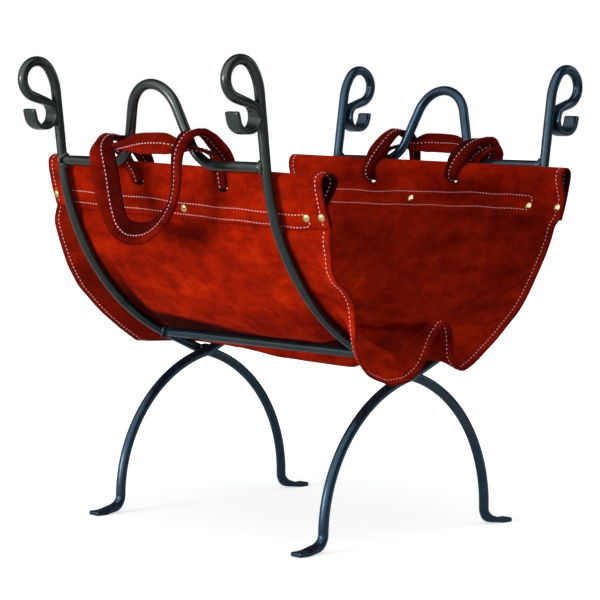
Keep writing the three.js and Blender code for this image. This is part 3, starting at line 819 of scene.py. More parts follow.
for end in ends:
    for side in sides:
        iron_piece(f"{end}_{side}_bar", "forged", loft(bar_rings(end, side)))

rail_half = frame_spacing / 2 - bar_radius - gap
rail_run = rail_half + rail_bury


def round_bar(pen, place):
    return loft([bar_ring(station, bar_radius, bar_radius, round_power, place) for station in pen.stations])


def top_rail_piece(side):
    shift = sides[side] * bar_shift
    sweep_rise = hoop_sweep_radius * (1 - math.cos(quarter_turn - hoop_flare))
    crown_rise = hoop_radius * (1 - math.cos(quarter_turn - hoop_flare))
    riser = (hoop_height - sweep_rise - crown_rise) / math.cos(hoop_flare)
    half_span = (hoop_radius + hoop_sweep_radius) * math.cos(hoop_flare) + riser * math.sin(hoop_flare)
    pen = Pen(shift - rail_run, 0, 0)
    pen.straight(-half_span - shift + rail_run, 12)
    pen.arc(hoop_sweep_radius, quarter_turn - hoop_flare)
    pen.straight(riser, 4)
    pen.arc(hoop_radius, 2 * hoop_flare - math.pi)
    pen.straight(riser, 4)
    pen.arc(hoop_sweep_radius, quarter_turn - hoop_flare)
    pen.straight(shift + rail_run - half_span, 12)

    def place(across, x, rise):
        return Vector((
            x,
            sides[side] * (top_rail[0] + rise * math.sin(hoop_lean) + across * math.cos(hoop_lean)),
            top_rail[1] + rise * math.cos(hoop_lean) - across * math.sin(hoop_lean),
        ))

    return round_bar(pen, place)


def lower_rail_piece(side):
    shift = sides[side] * bar_shift
    pen = Pen(shift - rail_run, 0, 0)
    pen.straight(2 * rail_run, 24)

    def place(across, x, rise):
        return Vector((x, sides[side] * (lower_rail[0] + across), lower_rail[1] + rise))

    return round_bar(pen, place)


bead_sides = 12
bead_steps = 54
bead_sink = 0.35 * weld_bead


def circle(count):
    return [2 * math.pi * k / count for k in range(count)]


# A closed ring of bead along a loop of points, rippled as the weld was laid
def bead_ring(centres, seed):
    rings = []
    count = len(centres)
    for i, centre in enumerate(centres):
        ahead = (centres[(i + 1) % count] - centres[i - 1]).normalized()
        side_way = ahead.cross(Vector((1, 0, 0))).normalized()
        up_way = ahead.cross(side_way)
        swell = weld_bead + weld_ripple * math.sin(i * 2.4)
        swell += 0.5 * weld_ripple * noise.noise(Vector((i * 0.7, seed, 0)))
        rings.append([
            centre + swell * (math.cos(a) * side_way + math.sin(a) * up_way) for a in circle(bead_sides)
        ])
    points = [p for ring in rings for p in ring]
    faces = []
    for i in range(count):
        here, ahead = i * bead_sides, (i + 1) % count * bead_sides
        for k in range(bead_sides):
            beside = (k + 1) % bead_sides
            faces.append((here + k, here + beside, ahead + beside, ahead + k))
    return outward(points, faces)


def rail_weld_piece(side, end, rail, seed):
    along = Vector((0, sides[side] * math.cos(rail[2]), math.sin(rail[2])))
    across = Vector((0, -sides[side] * math.sin(rail[2]), math.cos(rail[2])))
    middle = Vector((bar_x(end, side), sides[side] * rail[0], rail[1]))
    centres = []
    ring_radius = bar_radius + bead_sink
    for angle in circle(bead_steps):
        sway = min(ring_radius * abs(math.sin(angle)), bar_radius * 0.97)
        out = math.sqrt(bar_radius**2 - sway**2) + bead_sink
        ring_way = math.cos(angle) * along + math.sin(angle) * across
        centres.append(middle - Vector((ends[end] * out, 0, 0)) + ring_radius * ring_way)
    return bead_ring(centres, seed)


def crossing_weld_piece(end, upward, seed):
    rings = []
    for i in range(25):
        share = i / 24
        y = (share - 0.5) * crossing_weld_length
        taper = math.sqrt(max(0.02, 1 - (2 * share - 1) ** 6))
        radius = crossing_weld_radius * taper + weld_ripple * math.sin(i * 1.9 + seed)
        z = crossing_height + upward * (crossing_weld_offset - abs(y) * crossing_weld_slope)
        centre = Vector((ends[end] * frame_spacing / 2, y, z))
        rings.append([centre + radius * Vector((math.cos(a), 0, math.sin(a))) for a in circle(14)])
    return loft(rings)


seed = 0
for side in sides:
    iron_piece(f"{side}_top_rail", "bent", top_rail_piece(side))
    iron_piece(f"{side}_lower_rail", "rod", lower_rail_piece(side))
    for end in ends:
        for level, rail in (("top", top_rail), ("lower", lower_rail)):
            seed += 1
            shape = rail_weld_piece(side, end, rail, seed)
            iron_piece(f"{side}_{level}_weld_{end}", "bead", shape, weld_iron, "weld_bead")
for end in ends:
    for level, upward in (("top", 1), ("under", -1)):
        seed += 1
        shape = crossing_weld_piece(end, upward, seed)
        iron_piece(f"crossing_weld_{level}_{end}", "bead", shape, weld_iron, "weld_bead")


# Leather sling
hide_inset = bar_radius + gap + hide_thickness / 2
slope_end = lower_rail[0] - hide_inset * math.sin(cradle_slope)
slope_length = slope_end / math.cos(cradle_slope) - floor_radius * math.tan(cradle_slope)
hide_vertex = crossing_height + hide_inset / math.cos(cradle_slope)
hide_floor = hide_vertex + floor_radius * (1 / math.cos(cradle_slope) - 1)
wall_radius = cradle_radius - hide_inset
rail_travel = floor_radius * cradle_slope + slope_length + wall_radius * wall_turn
seam_travel = rail_travel - flap_drop


def hide_at(travel):
    left, heading, u, z = travel, 0.0, 0.0, hide_floor
    pieces = ((floor_radius * cradle_slope, floor_radius), (slope_length, math.inf), (math.inf, wall_radius))
    for length, radius in pieces:
        run = min(left, length)
        turn = run / radius
        chord = 2 * radius * math.sin(turn / 2) if turn > 0 else run
        u += chord * math.cos(heading + turn / 2)
        z += chord * math.sin(heading + turn / 2)
        heading += turn
        left -= run
    return u, z, heading


def wall_point(side, travel, inward):
    u, z, heading = hide_at(travel)
    return Vector((sides[side] * (u - inward * math.sin(heading)), z + inward * math.cos(heading)))


# Between the frames. Rows: travel from the middle as a share of the way to the seam, the ridge's lift and the
# bulge outward, as shares of their sizes.
span_shares = {
    "near": [
        (0.03, 0.93, 0.65), (0.06, 0.76, 0.8), (0.095, 0.42, 1.3), (0.13, 0.12, 1.9), (0.165, 0.01, 1.5),
        (0.2, 0, 0.6), (0.225, 0, 0), (0.27, 0, 0), (0.31, 0, 0.2), (0.345, 0, 0.85), (0.38, 0, 1.1),
        (0.46, 0, 1), (0.53, 0, 0.8), (0.6, 0, 0.6), (0.66, 0, 0.42), (0.72, 0, 0.27), (0.78, 0, 0.15),
        (0.85, 0, 0.03), (0.93, 0, -0.15),
    ],
    "far": [
        (0.02, 0.95, 0.65), (0.035, 0.66, 0.7), (0.05, 0.25, 0.75), (0.07, 0.04, 0.7), (0.12, 0, 0.4),
        (0.17, 0, 0.12), (0.205, 0, 0), (0.25, 0, 0.1), (0.31, 0, 0.55), (0.4, 0, 0.9), (0.5, 0, 0.8),
        (0.62, 0, 0.5), (0.75, 0, 0.2), (0.86, 0, 0), (0.94, 0, -0.15),
    ],
}
# At the hems. Rows: the same share, then how far outward and how high the hem hangs, as shares of its reach
right_hem_shares = {
    "near": [
        (0, 0.015, 1.355), (0.05, 0.1, 1.29), (0.1, 0.165, 1.175), (0.14, 0.215, 1.085),
        (0.2, 0.33, 1.025), (0.27, 0.47, 1.015), (0.36, 0.64, 1.065), (0.43, 0.75, 1.16),
        (0.52, 0.775, 1.34), (0.6, 0.795, 1.51), (0.66, 0.85, 1.585), (0.72, 0.925, 1.635),
        (0.78, 0.97, 1.695), (0.84, 0.98, 1.77), (0.92, 0.995, 1.88), (1, 1.03, 1.96),
    ],
    "far": [
        (0, -0.015, 1.355), (0.02, 0.025, 1.34), (0.035, 0.05, 1.29), (0.055, 0.06, 1.2),
        (0.08, 0.075, 1.11), (0.12, 0.14, 1.065), (0.18, 0.245, 1.095), (0.33, 0.465, 1.245),
        (0.5, 0.675, 1.425), (0.68, 0.84, 1.64), (0.8, 0.92, 1.78), (0.9, 0.965, 1.88), (1, 1.01, 1.99),
    ],
}
left_hem_shares = [
    (0, 0, 1.065), (0.12, 0.21, 1.065), (0.2, 0.34, 1.08), (0.32, 0.495, 1.175), (0.46, 0.675, 1.315),
    (0.59, 0.82, 1.45), (0.7, 0.915, 1.59), (0.79, 0.97, 1.71), (0.88, 1.015, 1.84), (1, 1.05, 1.99),
]
# The sleeve above the seam: rise as a share of the flap, distance inward as a share of the sleeve's depth,
# and whether it lies on the pinched band
sleeve_shares = [
    (0, 0, 1), (0.2, 0, 1), (0.37, 0, 1), (0.58, 0.6, 1), (0.78, 1, 1), (0.93, 0.9, 1), (1, 0.5, 0.5),
    (0.94, 0.1, 0), (0.78, 0, 0), (0.58, 0, 0), (0.37, 0, 0), (0.2, 0, 0), (-0.05, 0, 0),
]
frame_outer = frame_spacing / 2 + 2 * bar_radius + gap / 2


def table_at(rows, share):
    for before, after in zip(rows, rows[1:]):
        if share <= after[0]:
            part = (share - before[0]) / (after[0] - before[0])
            return [mix(a, b, part) for a, b in zip(before[1:], after[1:])]
    return list(rows[-1][1:])


def hem_place(side, rows, share):
    reach_share, height_share = table_at(rows, share)
    return Vector((sides[side] * reach_share, height_share)) * hem_reach


def overhang(x):
    right = smooth((x - frame_outer) / (hide_right - frame_outer))
    left = smooth((-x - frame_outer) / (-hide_left - frame_outer))
    return right, left


def skew_drop(side, x):
    return skew[side] * (x - hide_left) / (hide_right - hide_left)


def sleeve_point(side, x, row):
    rise, depth, pinched = row
    mouth = max(overhang(x))
    deep = sleeve_bulge + sleeve_mouth[side] * mouth
    band = (hide_thickness + ply_gap) * pinched
    clear = top_inset * smooth((clear_edge - abs(x)) / clear_run)
    above_band = smooth((rise * flap_length - band_height) / band_height)
    travel = seam_travel + rise * flap_length - skew_drop(side, x)
    pinch = hem_pinch[side] * mouth
    return wall_point(side, travel, band + deep * depth + band_inset + clear * above_band + pinch)


def section(x):
    right, left = overhang(x)
    ridge_share = smooth((x - ridge_start) / (ridge_full - ridge_start))
    ridge = ridge_height * mix(ridge_low_share, 1, right) * ridge_share
    span = smooth((bulge_edge - abs(x)) / bulge_run)
    sag = min(span, smooth((x - sag_start) / sag_run))
    halves = []
    for side in sides:
        rows = [(0, 1, 0.65)] + span_shares[side] if side == "near" else span_shares[side]
        wall = []
        for share, lift, out in rows:
            hang = sag if share < floor_share else span
            between = wall_point(side, share * seam_travel, ridge * lift - wall_bulge * out * hang)
            at_right = hem_place(side, right_hem_shares[side], share)
            at_left = hem_place(side, left_hem_shares, share)
            wall.append(between * (1 - right - left) + at_right * right + at_left * left)
        halves.append(wall + [sleeve_point(side, x, row) for row in sleeve_shares])
    return halves[0][::-1] + halves[1]


# The blend of two points that belong to a start and an end, at a place t between them
def blend_at(p, q, start, end, t):
    return (end - t) / (end - start) * p + (t - start) / (end - start) * q


# Points along a smooth curve through the controls, the same number in each stretch
def through(controls, steps):
    padded = [2 * controls[0] - controls[1], *controls, 2 * controls[-1] - controls[-2]]
    out = []
    for i in range(len(controls) - 1):
        p0, p1, p2, p3 = padded[i:i + 4]
        t1 = max(least_stretch, (p1 - p0).length) ** 0.5
        t2 = t1 + max(least_stretch, (p2 - p1).length) ** 0.5
        t3 = t2 + max(least_stretch, (p3 - p2).length) ** 0.5
        for k in range(steps):
            t = mix(t1, t2, k / steps)
            a1 = blend_at(p0, p1, 0, t1, t)
            a2 = blend_at(p1, p2, t1, t2, t)
            a3 = blend_at(p2, p3, t2, t3, t)
            b1 = blend_at(a1, a2, 0, t2, t)
            b2 = blend_at(a2, a3, t1, t3, t)
            out.append(blend_at(b1, b2, t1, t2, t))
    out.append(controls[-1])
    return out


section_steps = 5
long_stations = []
x = hide_left
while x < hide_right - least_step:
    long_stations.append(x)
    x += fine_step if abs(x) > bulge_edge - bulge_run else long_step
long_stations.append(hide_right)


def wave(x, y, z):
    slow = noise.noise(Vector((x, y, z)) / wrinkle_size + Vector((3, 7, 1)))
    folds = Vector((x / fold_length + z / fold_slant, y / fold_depth, z / fold_height - x / fold_lean))
    return slow + 0.8 * noise.noise(folds + Vector((11, 2, 5)))


hide_rows = []
for x in long_stations:
    hide_rows.append([Vector((x, p[0], p[1])) for p in through(section(x), section_steps)])
hide_columns = len(hide_rows[0])


def grid_normals(rows):
    normals = []
    for i, row in enumerate(rows):
        line = []
        for j in range(len(row)):
            along = rows[min(i + 1, len(rows) - 1)][j] - rows[max(i - 1, 0)][j]
            round_it = row[min(j + 1, len(row) - 1)] - row[max(j - 1, 0)]
            line.append(along.cross(round_it).normalized())
        normals.append(line)
    return normals


# The band, the slots and the bars hold the hide still; elsewhere it waves a little.
def loose(x, z):
    off_bars = 1 - math.exp(-((abs(x) - frame_spacing / 2) / bar_hold) ** 2)
    return off_bars * smooth((hold_height - z) / hold_run)


first_normals = grid_normals(hide_rows)
for row, line in zip(hide_rows, first_normals):
    for j, point in enumerate(row):
        row[j] = point + line[j] * wrinkle * wave(*point) * loose(point.x, point.z)
hide_normals = grid_normals(hide_rows)
inner_face = 1 if hide_normals[len(hide_rows) // 2][hide_columns // 2].z > 0 else -1
near_middle = section_steps * (len(span_shares["near"]) + len(sleeve_shares))

# Painted shade, in rows of the section from the middle: the shaded ledge's start and its top at left and at right, how
# fast it fades at both, and the painted shade beside the left bar from its start to its top
ledge_rows = {"near": (7, 12.4, 10.3), "far": (6, 7.4, 8.4)}
ledge_start_rows = 0.6
ledge_top_rows = 0.4
bar_start_rows = 2
bar_top_row = 18.5
bar_top_rows = 7
bar_lean_row = 10
bar_lean_rows = 5

# How dark the painted shade gets, and where along the trough it lies and fades
ledge_shade = 0.93
overhang_shade = 0.5
sleeve_shade = 0.9
ledge_half = 170
ledge_over = 8
ledge_fade = 14
bar_shade_left = -196
bar_shade_right = -152
bar_shade_lean = 9
bar_left_fade = 8
bar_right_fade = 10
over_fade = 12


# Painted shade on the outer face: along the shadowed ledge over each lower rail, inside the sleeves on both plies,
# and on the near side in the recess beside the left bar and on the left overhang
def painted_shade_at(i, j, outside):
    x = long_stations[i]
    side = "near" if j <= near_middle else "far"
    row = abs(j - near_middle) / section_steps - (0 if side == "near" else 1)
    wall_count = len(span_shares[side]) + (1 if side == "near" else 0)
    sleeve_row = row - wall_count
    if not outside:
        return 0.0
    if 0 < sleeve_row < len(sleeve_shares) - 2:
        return sleeve_shade
    start, left_top, right_top = ledge_rows[side]
    ledge_top = mix(left_top, right_top, smooth((x + ledge_half) / (2 * ledge_half)))
    ledge = ledge_shade * smooth((row - start) / ledge_start_rows) * smooth((ledge_top - row) / ledge_top_rows)
    ledge *= smooth((bulge_edge + ledge_over - abs(x)) / ledge_fade)
    if side == "far":
        return ledge
    climb = smooth((row - start) / bar_start_rows) * smooth((bar_top_row - row) / bar_top_rows)
    right_edge = bar_shade_right - bar_shade_lean * smooth((row - bar_lean_row) / bar_lean_rows)
    beside_bar = ledge_shade * climb * smooth((right_edge - x) / bar_right_fade)
    beside_bar *= smooth((x - bar_shade_left) / bar_left_fade)
    return max(ledge, beside_bar, overhang_shade * smooth((bar_shade_left - x) / over_fade))


# How worn the rows beside the cut edge are, and how far the edge stands out of the sheet's half thickness
beside_rim = 0.55
edge_share = 0.8


# A closed sheet round the grid, with its edges rounded over
def hide_piece():
    half = hide_thickness / 2
    rows, columns = len(hide_rows), hide_columns
    points, rim, painted_shade = [], [], []
    for way in (half, -half):
        for i in range(rows):
            for j in range(columns):
                points.append(hide_rows[i][j] + hide_normals[i][j] * way)
                edge = min(i, rows - 1 - i) < 1 or min(j, columns - 1 - j) < 1
                rim.append(beside_rim if edge else 0.0)
                # Shade painted into the outer face's colour
                painted_shade.append(painted_shade_at(i, j, way * inner_face < 0))
    under = rows * columns
    faces = []
    for i in range(rows - 1):
        for j in range(columns - 1):
            a = i * columns + j
            faces.append((a, a + 1, a + columns + 1, a + columns))
            faces.append((under + a, under + a + columns, under + a + columns + 1, under + a + 1))
    loop = [(0, j) for j in range(columns)]
    loop += [(i, columns - 1) for i in range(1, rows)]
    loop += [(rows - 1, j) for j in range(columns - 2, -1, -1)]
    loop += [(i, 0) for i in range(rows - 2, 0, -1)]
    first = len(points)
    for i, j in loop:
        inner = hide_rows[min(max(i, 1), rows - 2)][min(max(j, 1), columns - 2)]
        away = (hide_rows[i][j] - inner).normalized()
        points.append(hide_rows[i][j] + away * half * edge_share)
        rim.append(1.0)
        painted_shade.append(0.0)
    count = len(loop)
    for n in range(count):
        i, j = loop[n]
        k, m = loop[(n + 1) % count]
        a, b = i * columns + j, k * columns + m
        c, d = first + n, first + (n + 1) % count
        faces.append((a, c, d, b))
        faces.append((under + b, d, c, under + a))
    points, faces = outward(points, faces)
    return make_piece("hide", points, faces, suede, None, shades={"rim": rim, "painted_shade": painted_shade})


# A place on the wall, and the way out through the hide there
def square_to_wall(side, x, rise, inward):
    place = wall_point(side, seam_travel + rise, inward)
    heading = hide_at(seam_travel + rise)[2]
    out = Vector((0, sides[side] * math.sin(heading), -math.cos(heading)))
    return Vector((x, place[0], place[1])), out


def slot_cutter(side, x, rise):
    centre, out = square_to_wall(side, x, rise, band_inset + top_inset)
    along = Vector((1, 0, 0))
    up = along.cross(out)
    rings = []
    for way in (-cut_reach, cut_reach):
        ring = []
        for angle in circle(32):
            reach = along * slot_half_width * math.cos(angle) + up * slot_half_height * math.sin(angle)
            ring.append(centre + out * way + reach)
        rings.append(ring)
    points, faces = loft(rings)
    return make_piece(f"slot_{side}_{x}", points, faces, suede, None)


slots = []
for x in near_slots:
    rise = slot_rise - skew_drop("near", x)
    slots += [("near", x, rise), ("far", -x, rise)]

hide = hide_piece()
cutters = [slot_cutter(*slot) for slot in slots]
for cutter in cutters:
    cut = hide.modifiers.new("slot", "BOOLEAN")
    cut.operation = "DIFFERENCE"
    cut.solver = "EXACT"
    cut.object = cutter


def plain_mesh(source, name):
    evaluated = source.evaluated_get(bpy.context.evaluated_depsgraph_get())
    return new_object(name, bpy.data.meshes.new_from_object(evaluated))


sling = plain_mesh(hide, "suede_sling")
sling.data.shade_smooth()
for old in [hide, *cutters]:
    bpy.data.objects.remove(old)
settle(sling, "sling", ["leather_sling"], "sling_leather")
cut_length = 0.0
middle_row = hide_rows[len(hide_rows) // 2]
for before, after in zip(middle_row, middle_row[1:]):
    cut_length += (after - before).length
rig.sheet(
    sling,
    flat=((hide_right - hide_left) * mm, cut_length * mm),
    held="hung",
    rests_on=["near_lower_rail", "far_lower_rail", "near_top_rail", "far_top_rail"],
)


# Straps: widths of the rolled edge and the lip
wide = (strap_half_width, strap_lip_width)
slim = (tongue_half_width, tongue_lip_width)
broad = (17, 18)
turning = (13, 18)
narrowing = (11, 18)
turned = (9, 22)
out_share = 0.395
hinge_share = 0.08
crest_share = 0.05
apart_share = gap / strap_reach
left_crest = (-0.88, 0.31)
right_crest = (0.73, 0.395)
left_slot, right_slot = (x / strap_reach for x in near_slots)

# Rows: place along the trough, outward from the top rail and rise above it as shares of the straps' reach,
# then the widths of the rolled edge and the lip, and the way towards the lip (along, outward, up)
loop_shares = [
    (left_crest[0], hinge_share, left_crest[1], wide, (1, 0, 0)),
    (left_crest[0], hinge_share + crest_share, left_crest[1], wide, (1, 0, 0)),
    (left_crest[0] + 0.05, 0.24, left_crest[1] - 0.04, wide, (1, -0.1, 0.1)),
    (-0.74, 0.365, 0.17, broad, (1, -0.3, 0.25)),
    (-0.67, out_share, 0.02, broad, (1, -0.5, 0.2)),
    (-0.62, out_share, -0.14, broad, (1, -0.55, 0.2)),
    (-0.57, out_share, -0.36, broad, (1, -0.6, 0.25)),
    (-0.5, out_share, -0.58, turning, (1, -0.6, 0.4)),
    (-0.4, out_share, -0.765, narrowing, (0.8, -0.65, 0.7)),
    (-0.24, out_share, -0.875, turned, (0.3, -0.65, 0.9)),
    (-0.04, out_share, -0.895, turned, (0, -0.6, 1)),
    (0.18, out_share, -0.855, turned, (-0.3, -0.6, 0.9)),
    (0.39, out_share, -0.74, turned, (-0.6, -0.6, 0.6)),
    (0.56, out_share, -0.57, wide, (-0.9, -0.55, 0.4)),
    (0.67, out_share, -0.38, wide, (-1, -0.5, 0.2)),
    (0.71, out_share, -0.18, wide, (-1, -0.45, 0)),
    (0.71, out_share, 0, wide, (-1, -0.35, 0)),
    (0.72, out_share - 0.01, 0.15, wide, (-1, -0.25, 0)),
    (0.73, 0.33, 0.27, wide, (-1, -0.15, 0)),
    (right_crest[0], 0.24, 0.36, wide, (-1, -0.05, 0)),
    (right_crest[0], hinge_share + crest_share, right_crest[1], wide, (-1, 0, 0)),
    (right_crest[0], hinge_share, right_crest[1], wide, (-1, 0, 0)),
]
left_tail_shares = [
    (left_crest[0], hinge_share - apart_share, left_crest[1], wide, (1, 0, 0)),
    (left_crest[0], hinge_share - apart_share - crest_share, left_crest[1], wide, (1, 0, 0)),
    (left_crest[0] + 0.01, -0.08, 0.29, wide, (1, 0.1, 0.1)),
    (-0.84, -0.22, 0.22, wide, (1, 0.1, 0.2)),
    (-0.74, -0.32, 0.06, wide, (1, 0, 0.3)),
    (left_slot - 0.03, -0.36, -0.1, slim, (1, 0, 0.1)),
    (left_slot, -0.33, -0.185, slim, (1, 0, 0)),
    (left_slot, -0.24, -0.21, slim, (1, 0, 0)),
]
right_tail_shares = [
    (right_crest[0], hinge_share - apart_share, right_crest[1], wide, (-1, 0, 0)),
    (right_crest[0], hinge_share - apart_share - crest_share, right_crest[1], wide, (-1, 0, 0)),
    (0.74, -0.07, 0.35, wide, (-1, 0, 0)),
    (0.77, -0.15, 0.27, wide, (-1, 0, -0.2)),
    (0.82, -0.25, 0.14, wide, (-1, 0, -0.3)),
    (right_slot - 0.03, -0.34, -0.03, slim, (-1, 0, -0.2)),
    (right_slot, -0.36, -0.14, slim, (-1, 0, 0)),
    (right_slot, -0.33, -0.22, slim, (-1, 0, 0)),
    (right_slot, -0.24, -0.24, slim, (-1, 0, 0)),
]
short_shares = [
    (left_slot, -0.13, -0.24, slim, (1, 0, 0.1)),
    (left_slot - 0.03, -0.11, -0.14, slim, (1, 0, 0.3)),
    (left_slot - 0.13, -0.1, -0.02, slim, (1, 0, 0.5)),
    (-0.88, -0.09, 0.11, slim, (1, 0, 0.5)),
    (-0.95, 0, 0.175, slim, (1, 0.4, 0.1)),
    (-0.88, 0.11, 0.185, slim, (0.4, 1, 0)),
    (-0.72, 0.16, 0.18, slim, (-0.2, 1, 0.1)),
    (-0.62, 0.21, 0.185, slim, (-0.2, 1, 0.2)),
    (-0.5, 0.272, 0.19, slim, (-0.2, 1, 0.4)),
    (-0.38, 0.31, 0.2, slim, (-0.1, 0.9, 0.6)),
    (-0.26, 0.325, 0.21, slim, (0, 0.7, 0.8)),
    (-0.04, 0.34, 0.23, wide, (0, 0.3, 1)),
    (0.18, 0.345, 0.24, wide, (0, 0, 1)),
    (0.4, 0.32, 0.24, wide, (0, 0, 1)),
    (0.54, 0.22, 0.22, slim, (0.1, 0.6, 1)),
    (0.69, 0.18, 0.21, slim, (0.3, 1, 0.3)),
    (0.83, 0.07, 0.175, slim, (0.9, 0.7, 0)),
    (0.87, -0.04, 0.12, slim, (1, 0.3, 0.1)),
    (right_slot - 0.02, -0.1, -0.02, slim, (1, 0, 0.2)),
    (right_slot, -0.11, -0.14, slim, (1, 0, 0.1)),
    (right_slot, -0.14, -0.27, slim, (1, 0, 0)),
]
strap_steps = 10

# Places across the strip: -1 at the rolled edge, 0 at the seam, 1 at the edge of the flat lip
across_shares = (
    -1, -0.97, -0.9, -0.78, -0.62, -0.45, -0.3, -0.18, -0.09, -0.03,
    0.03, 0.1, 0.2, 0.4, 0.6, 0.8, 0.92, 0.98, 1,
)
# Those places round the strip, with the face they are on
strip_places = [(place, 1) for place in across_shares] + [(place, -1) for place in across_shares[-2:0:-1]]

# The strip's section at those places: the roll, the lip and the dip at the seam
roll_middle_share = -0.52
roll_reach_share = 0.48
lip_start_share = -0.5
lip_round_share = 0.1
seam_share = -0.01
seam_width_share = 0.05
seam_dip_share = 0.35


# Half the strip's thickness there: a roll on one side of the seam, a flat lip on the other
def strap_half_thickness(place, fold):
    off_roll = (place - roll_middle_share) / roll_reach_share
    roll = roll_half_thickness * math.sqrt(max(0.0, 1 - off_roll**2))
    lip = 0
    if place > lip_start_share:
        past_flat = max(0.0, (place - 1 + lip_round_share) / lip_round_share)
        lip = flange_half_thickness * math.sqrt(max(0.0, 1 - past_flat**2))
    seam = 1 - seam_dip_share * math.exp(-((place - seam_share) / seam_width_share) ** 2)
    full = max(roll, lip) * seam
    plain = tongue_half_thickness * math.sqrt(max(0.0, 1 - place**8))
    return mix(plain, full, fold)


# A point of a strap, from its place, outward and rise shares
def strap_seat(turn, x, out, rise):
    return Vector((turn * x, -turn * out, rise)) * strap_reach + Vector((0, -turn * top_rail[0], top_rail[1]))


# A loop bends just outside the line through both its crests.
def crest_bend(turn):
    left, right = (strap_seat(turn, x, hinge_share, rise) for x, rise in (left_crest, right_crest))
    along = (right - left).normalized()
    down = Vector((0, 0, -1))
    down -= along * down.dot(along)
    away = (down.normalized() + Vector((0, -turn, 0))).normalized()
    return left * mm, (left + away * bend_length) * mm


def strap_run(side, rows):
    turn = -sides[side]
    route = through([strap_seat(turn, *row[:3]) for row in rows], strap_steps)
    lip_ways = [Vector((turn * along, -turn * out, up)).normalized() for *_, (along, out, up) in rows]
    lay = through(lip_ways, strap_steps)
    widths = through([Vector((*row[3], 0)) for row in rows], strap_steps)
    frames = []
    for i, centre in enumerate(route):
        ahead = (route[min(i + 1, len(route) - 1)] - route[max(i - 1, 0)]).normalized()
        across = (lay[i] - ahead * lay[i].dot(ahead)).normalized()
        frames.append((centre, across, ahead.cross(across), widths[i]))
    return frames


def strap_offset(place, widths):
    fold = min(1.0, max(0.0, (widths.y - tongue_lip_width) / (strap_lip_width - tongue_lip_width)))
    return place * (widths.x if place < 0 else widths.y), fold


def strap_piece(side, rows):
    rings = []
    for centre, across, out, widths in strap_run(side, rows):
        ring = []
        for place, face in strip_places:
            offset, fold = strap_offset(place, widths)
            thick = strap_half_thickness(place, fold)
            sway = noise.noise(centre / strap_sway_size + Vector((place * 2, face, 4)))
            sway *= strap_sway * min(1.0, thick)
            ring.append(centre + across * offset + out * face * (thick + sway))
        rings.append(ring)
    return loft(rings)


# Each strap's rows, and how much shade is painted on the lip and over the whole strip
strap_runs = {
    "short_strap": (short_shares, 0.3, 0.05),
    "strap_tail_left": (left_tail_shares, 0.35, 0.4),
    "strap_tail_right": (right_tail_shares, 0.35, 0.3),
    "long_strap": (loop_shares, 0.62, 0.1),
}


# Painted shade for each point of a strap: on the lip side of the seam, and evenly over the whole strip
def strap_painted_shade(rows, on_lip, all_over):
    count = strap_steps * (len(rows) - 1) + 1
    ring = [min(1.0, all_over + on_lip * smooth((place - 0.02) / 0.12)) for place, face in strip_places]
    return ring * count


for side in sides:
    bends[f"{side}_loop"] = crest_bend(-sides[side])
    for part, (rows, on_lip, all_over) in strap_runs.items():
        points, faces = strap_piece(side, rows)
        name = f"{side}_{part}"
        body = f"{side}_loop" if part == "long_strap" else "sling"
        # Shade painted into the strap's colour
        tone_marks = strap_painted_shade(rows, on_lip, all_over)
        shades = {"painted_shade": tone_marks + [all_over] * (len(points) - len(tone_marks))}
        make_piece(f"{name}_suede", points, faces, strap_suede, body, [name], "strap_leather", shades)


def new_tree(name, inputs):
    tree = bpy.data.node_groups.new(name, "GeometryNodeTree")
    tree.interface.new_socket("Geometry", in_out="INPUT", socket_type="NodeSocketGeometry")
    for label, kind in inputs.items():
        tree.interface.new_socket(label, in_out="INPUT", socket_type=kind)
    tree.interface.new_socket("Geometry", in_out="OUTPUT", socket_type="NodeSocketGeometry")
    return tree, node(tree, "NodeGroupInput").outputs


# The way out of the leather at each point of a guide, and the turn that stands a shape along it
def stand_up(tree):
    out_way = node(tree, "GeometryNodeInputNamedAttribute", {"Name": "out_way"}, data_type="FLOAT_VECTOR")
    inputs = {"Vector": out_way.outputs["Attribute"]}
    return node(tree, "FunctionNodeAlignRotationToVector", inputs, axis="Z").outputs["Rotation"]


def place_copies(tree, points, shape, rotation, material):
    inputs = {"Points": points, "Instance": shape, "Rotation": rotation}
    spread = node(tree, "GeometryNodeInstanceOnPoints", inputs)
    real = node(tree, "GeometryNodeRealizeInstances", {"Geometry": spread.outputs["Instances"]})
    coat = node(tree, "GeometryNodeSetMaterial", {"Geometry": real.outputs["Geometry"], "Material": material})
    node(tree, "NodeGroupOutput", {"Geometry": coat.outputs["Geometry"]})


# Stitches at an even pitch along runs of edges
def stitch_tree():
    tree, source = new_tree("stitch_run", {
        "Pitch": "NodeSocketFloat",
        "Stitch Size": "NodeSocketVector",
        "Thread": "NodeSocketMaterial",
    })
    curve = node(tree, "GeometryNodeMeshToCurve", {"Mesh": source["Geometry"]}).outputs["Curve"]
    even = node(tree, "GeometryNodeResampleCurve", {"Curve": curve, "Length": source["Pitch"]}, mode="LENGTH")
    inputs = {"Rotation": stand_up(tree), "Vector": node(tree, "GeometryNodeInputTangent").outputs["Tangent"]}
    along = node(tree, "FunctionNodeAlignRotationToVector", inputs, axis="X", pivot_axis="Z")
    grain = node(tree, "GeometryNodeMeshUVSphere", {"Segments": 7, "Rings": 5, "Radius": 0.5})
    inputs = {"Geometry": grain.outputs["Mesh"], "Scale": source["Stitch Size"]}
    shaped = node(tree, "GeometryNodeTransform", inputs).outputs["Geometry"]
    place_copies(tree, even.outputs["Curve"], shaped, along.outputs["Rotation"], source["Thread"])
    return tree


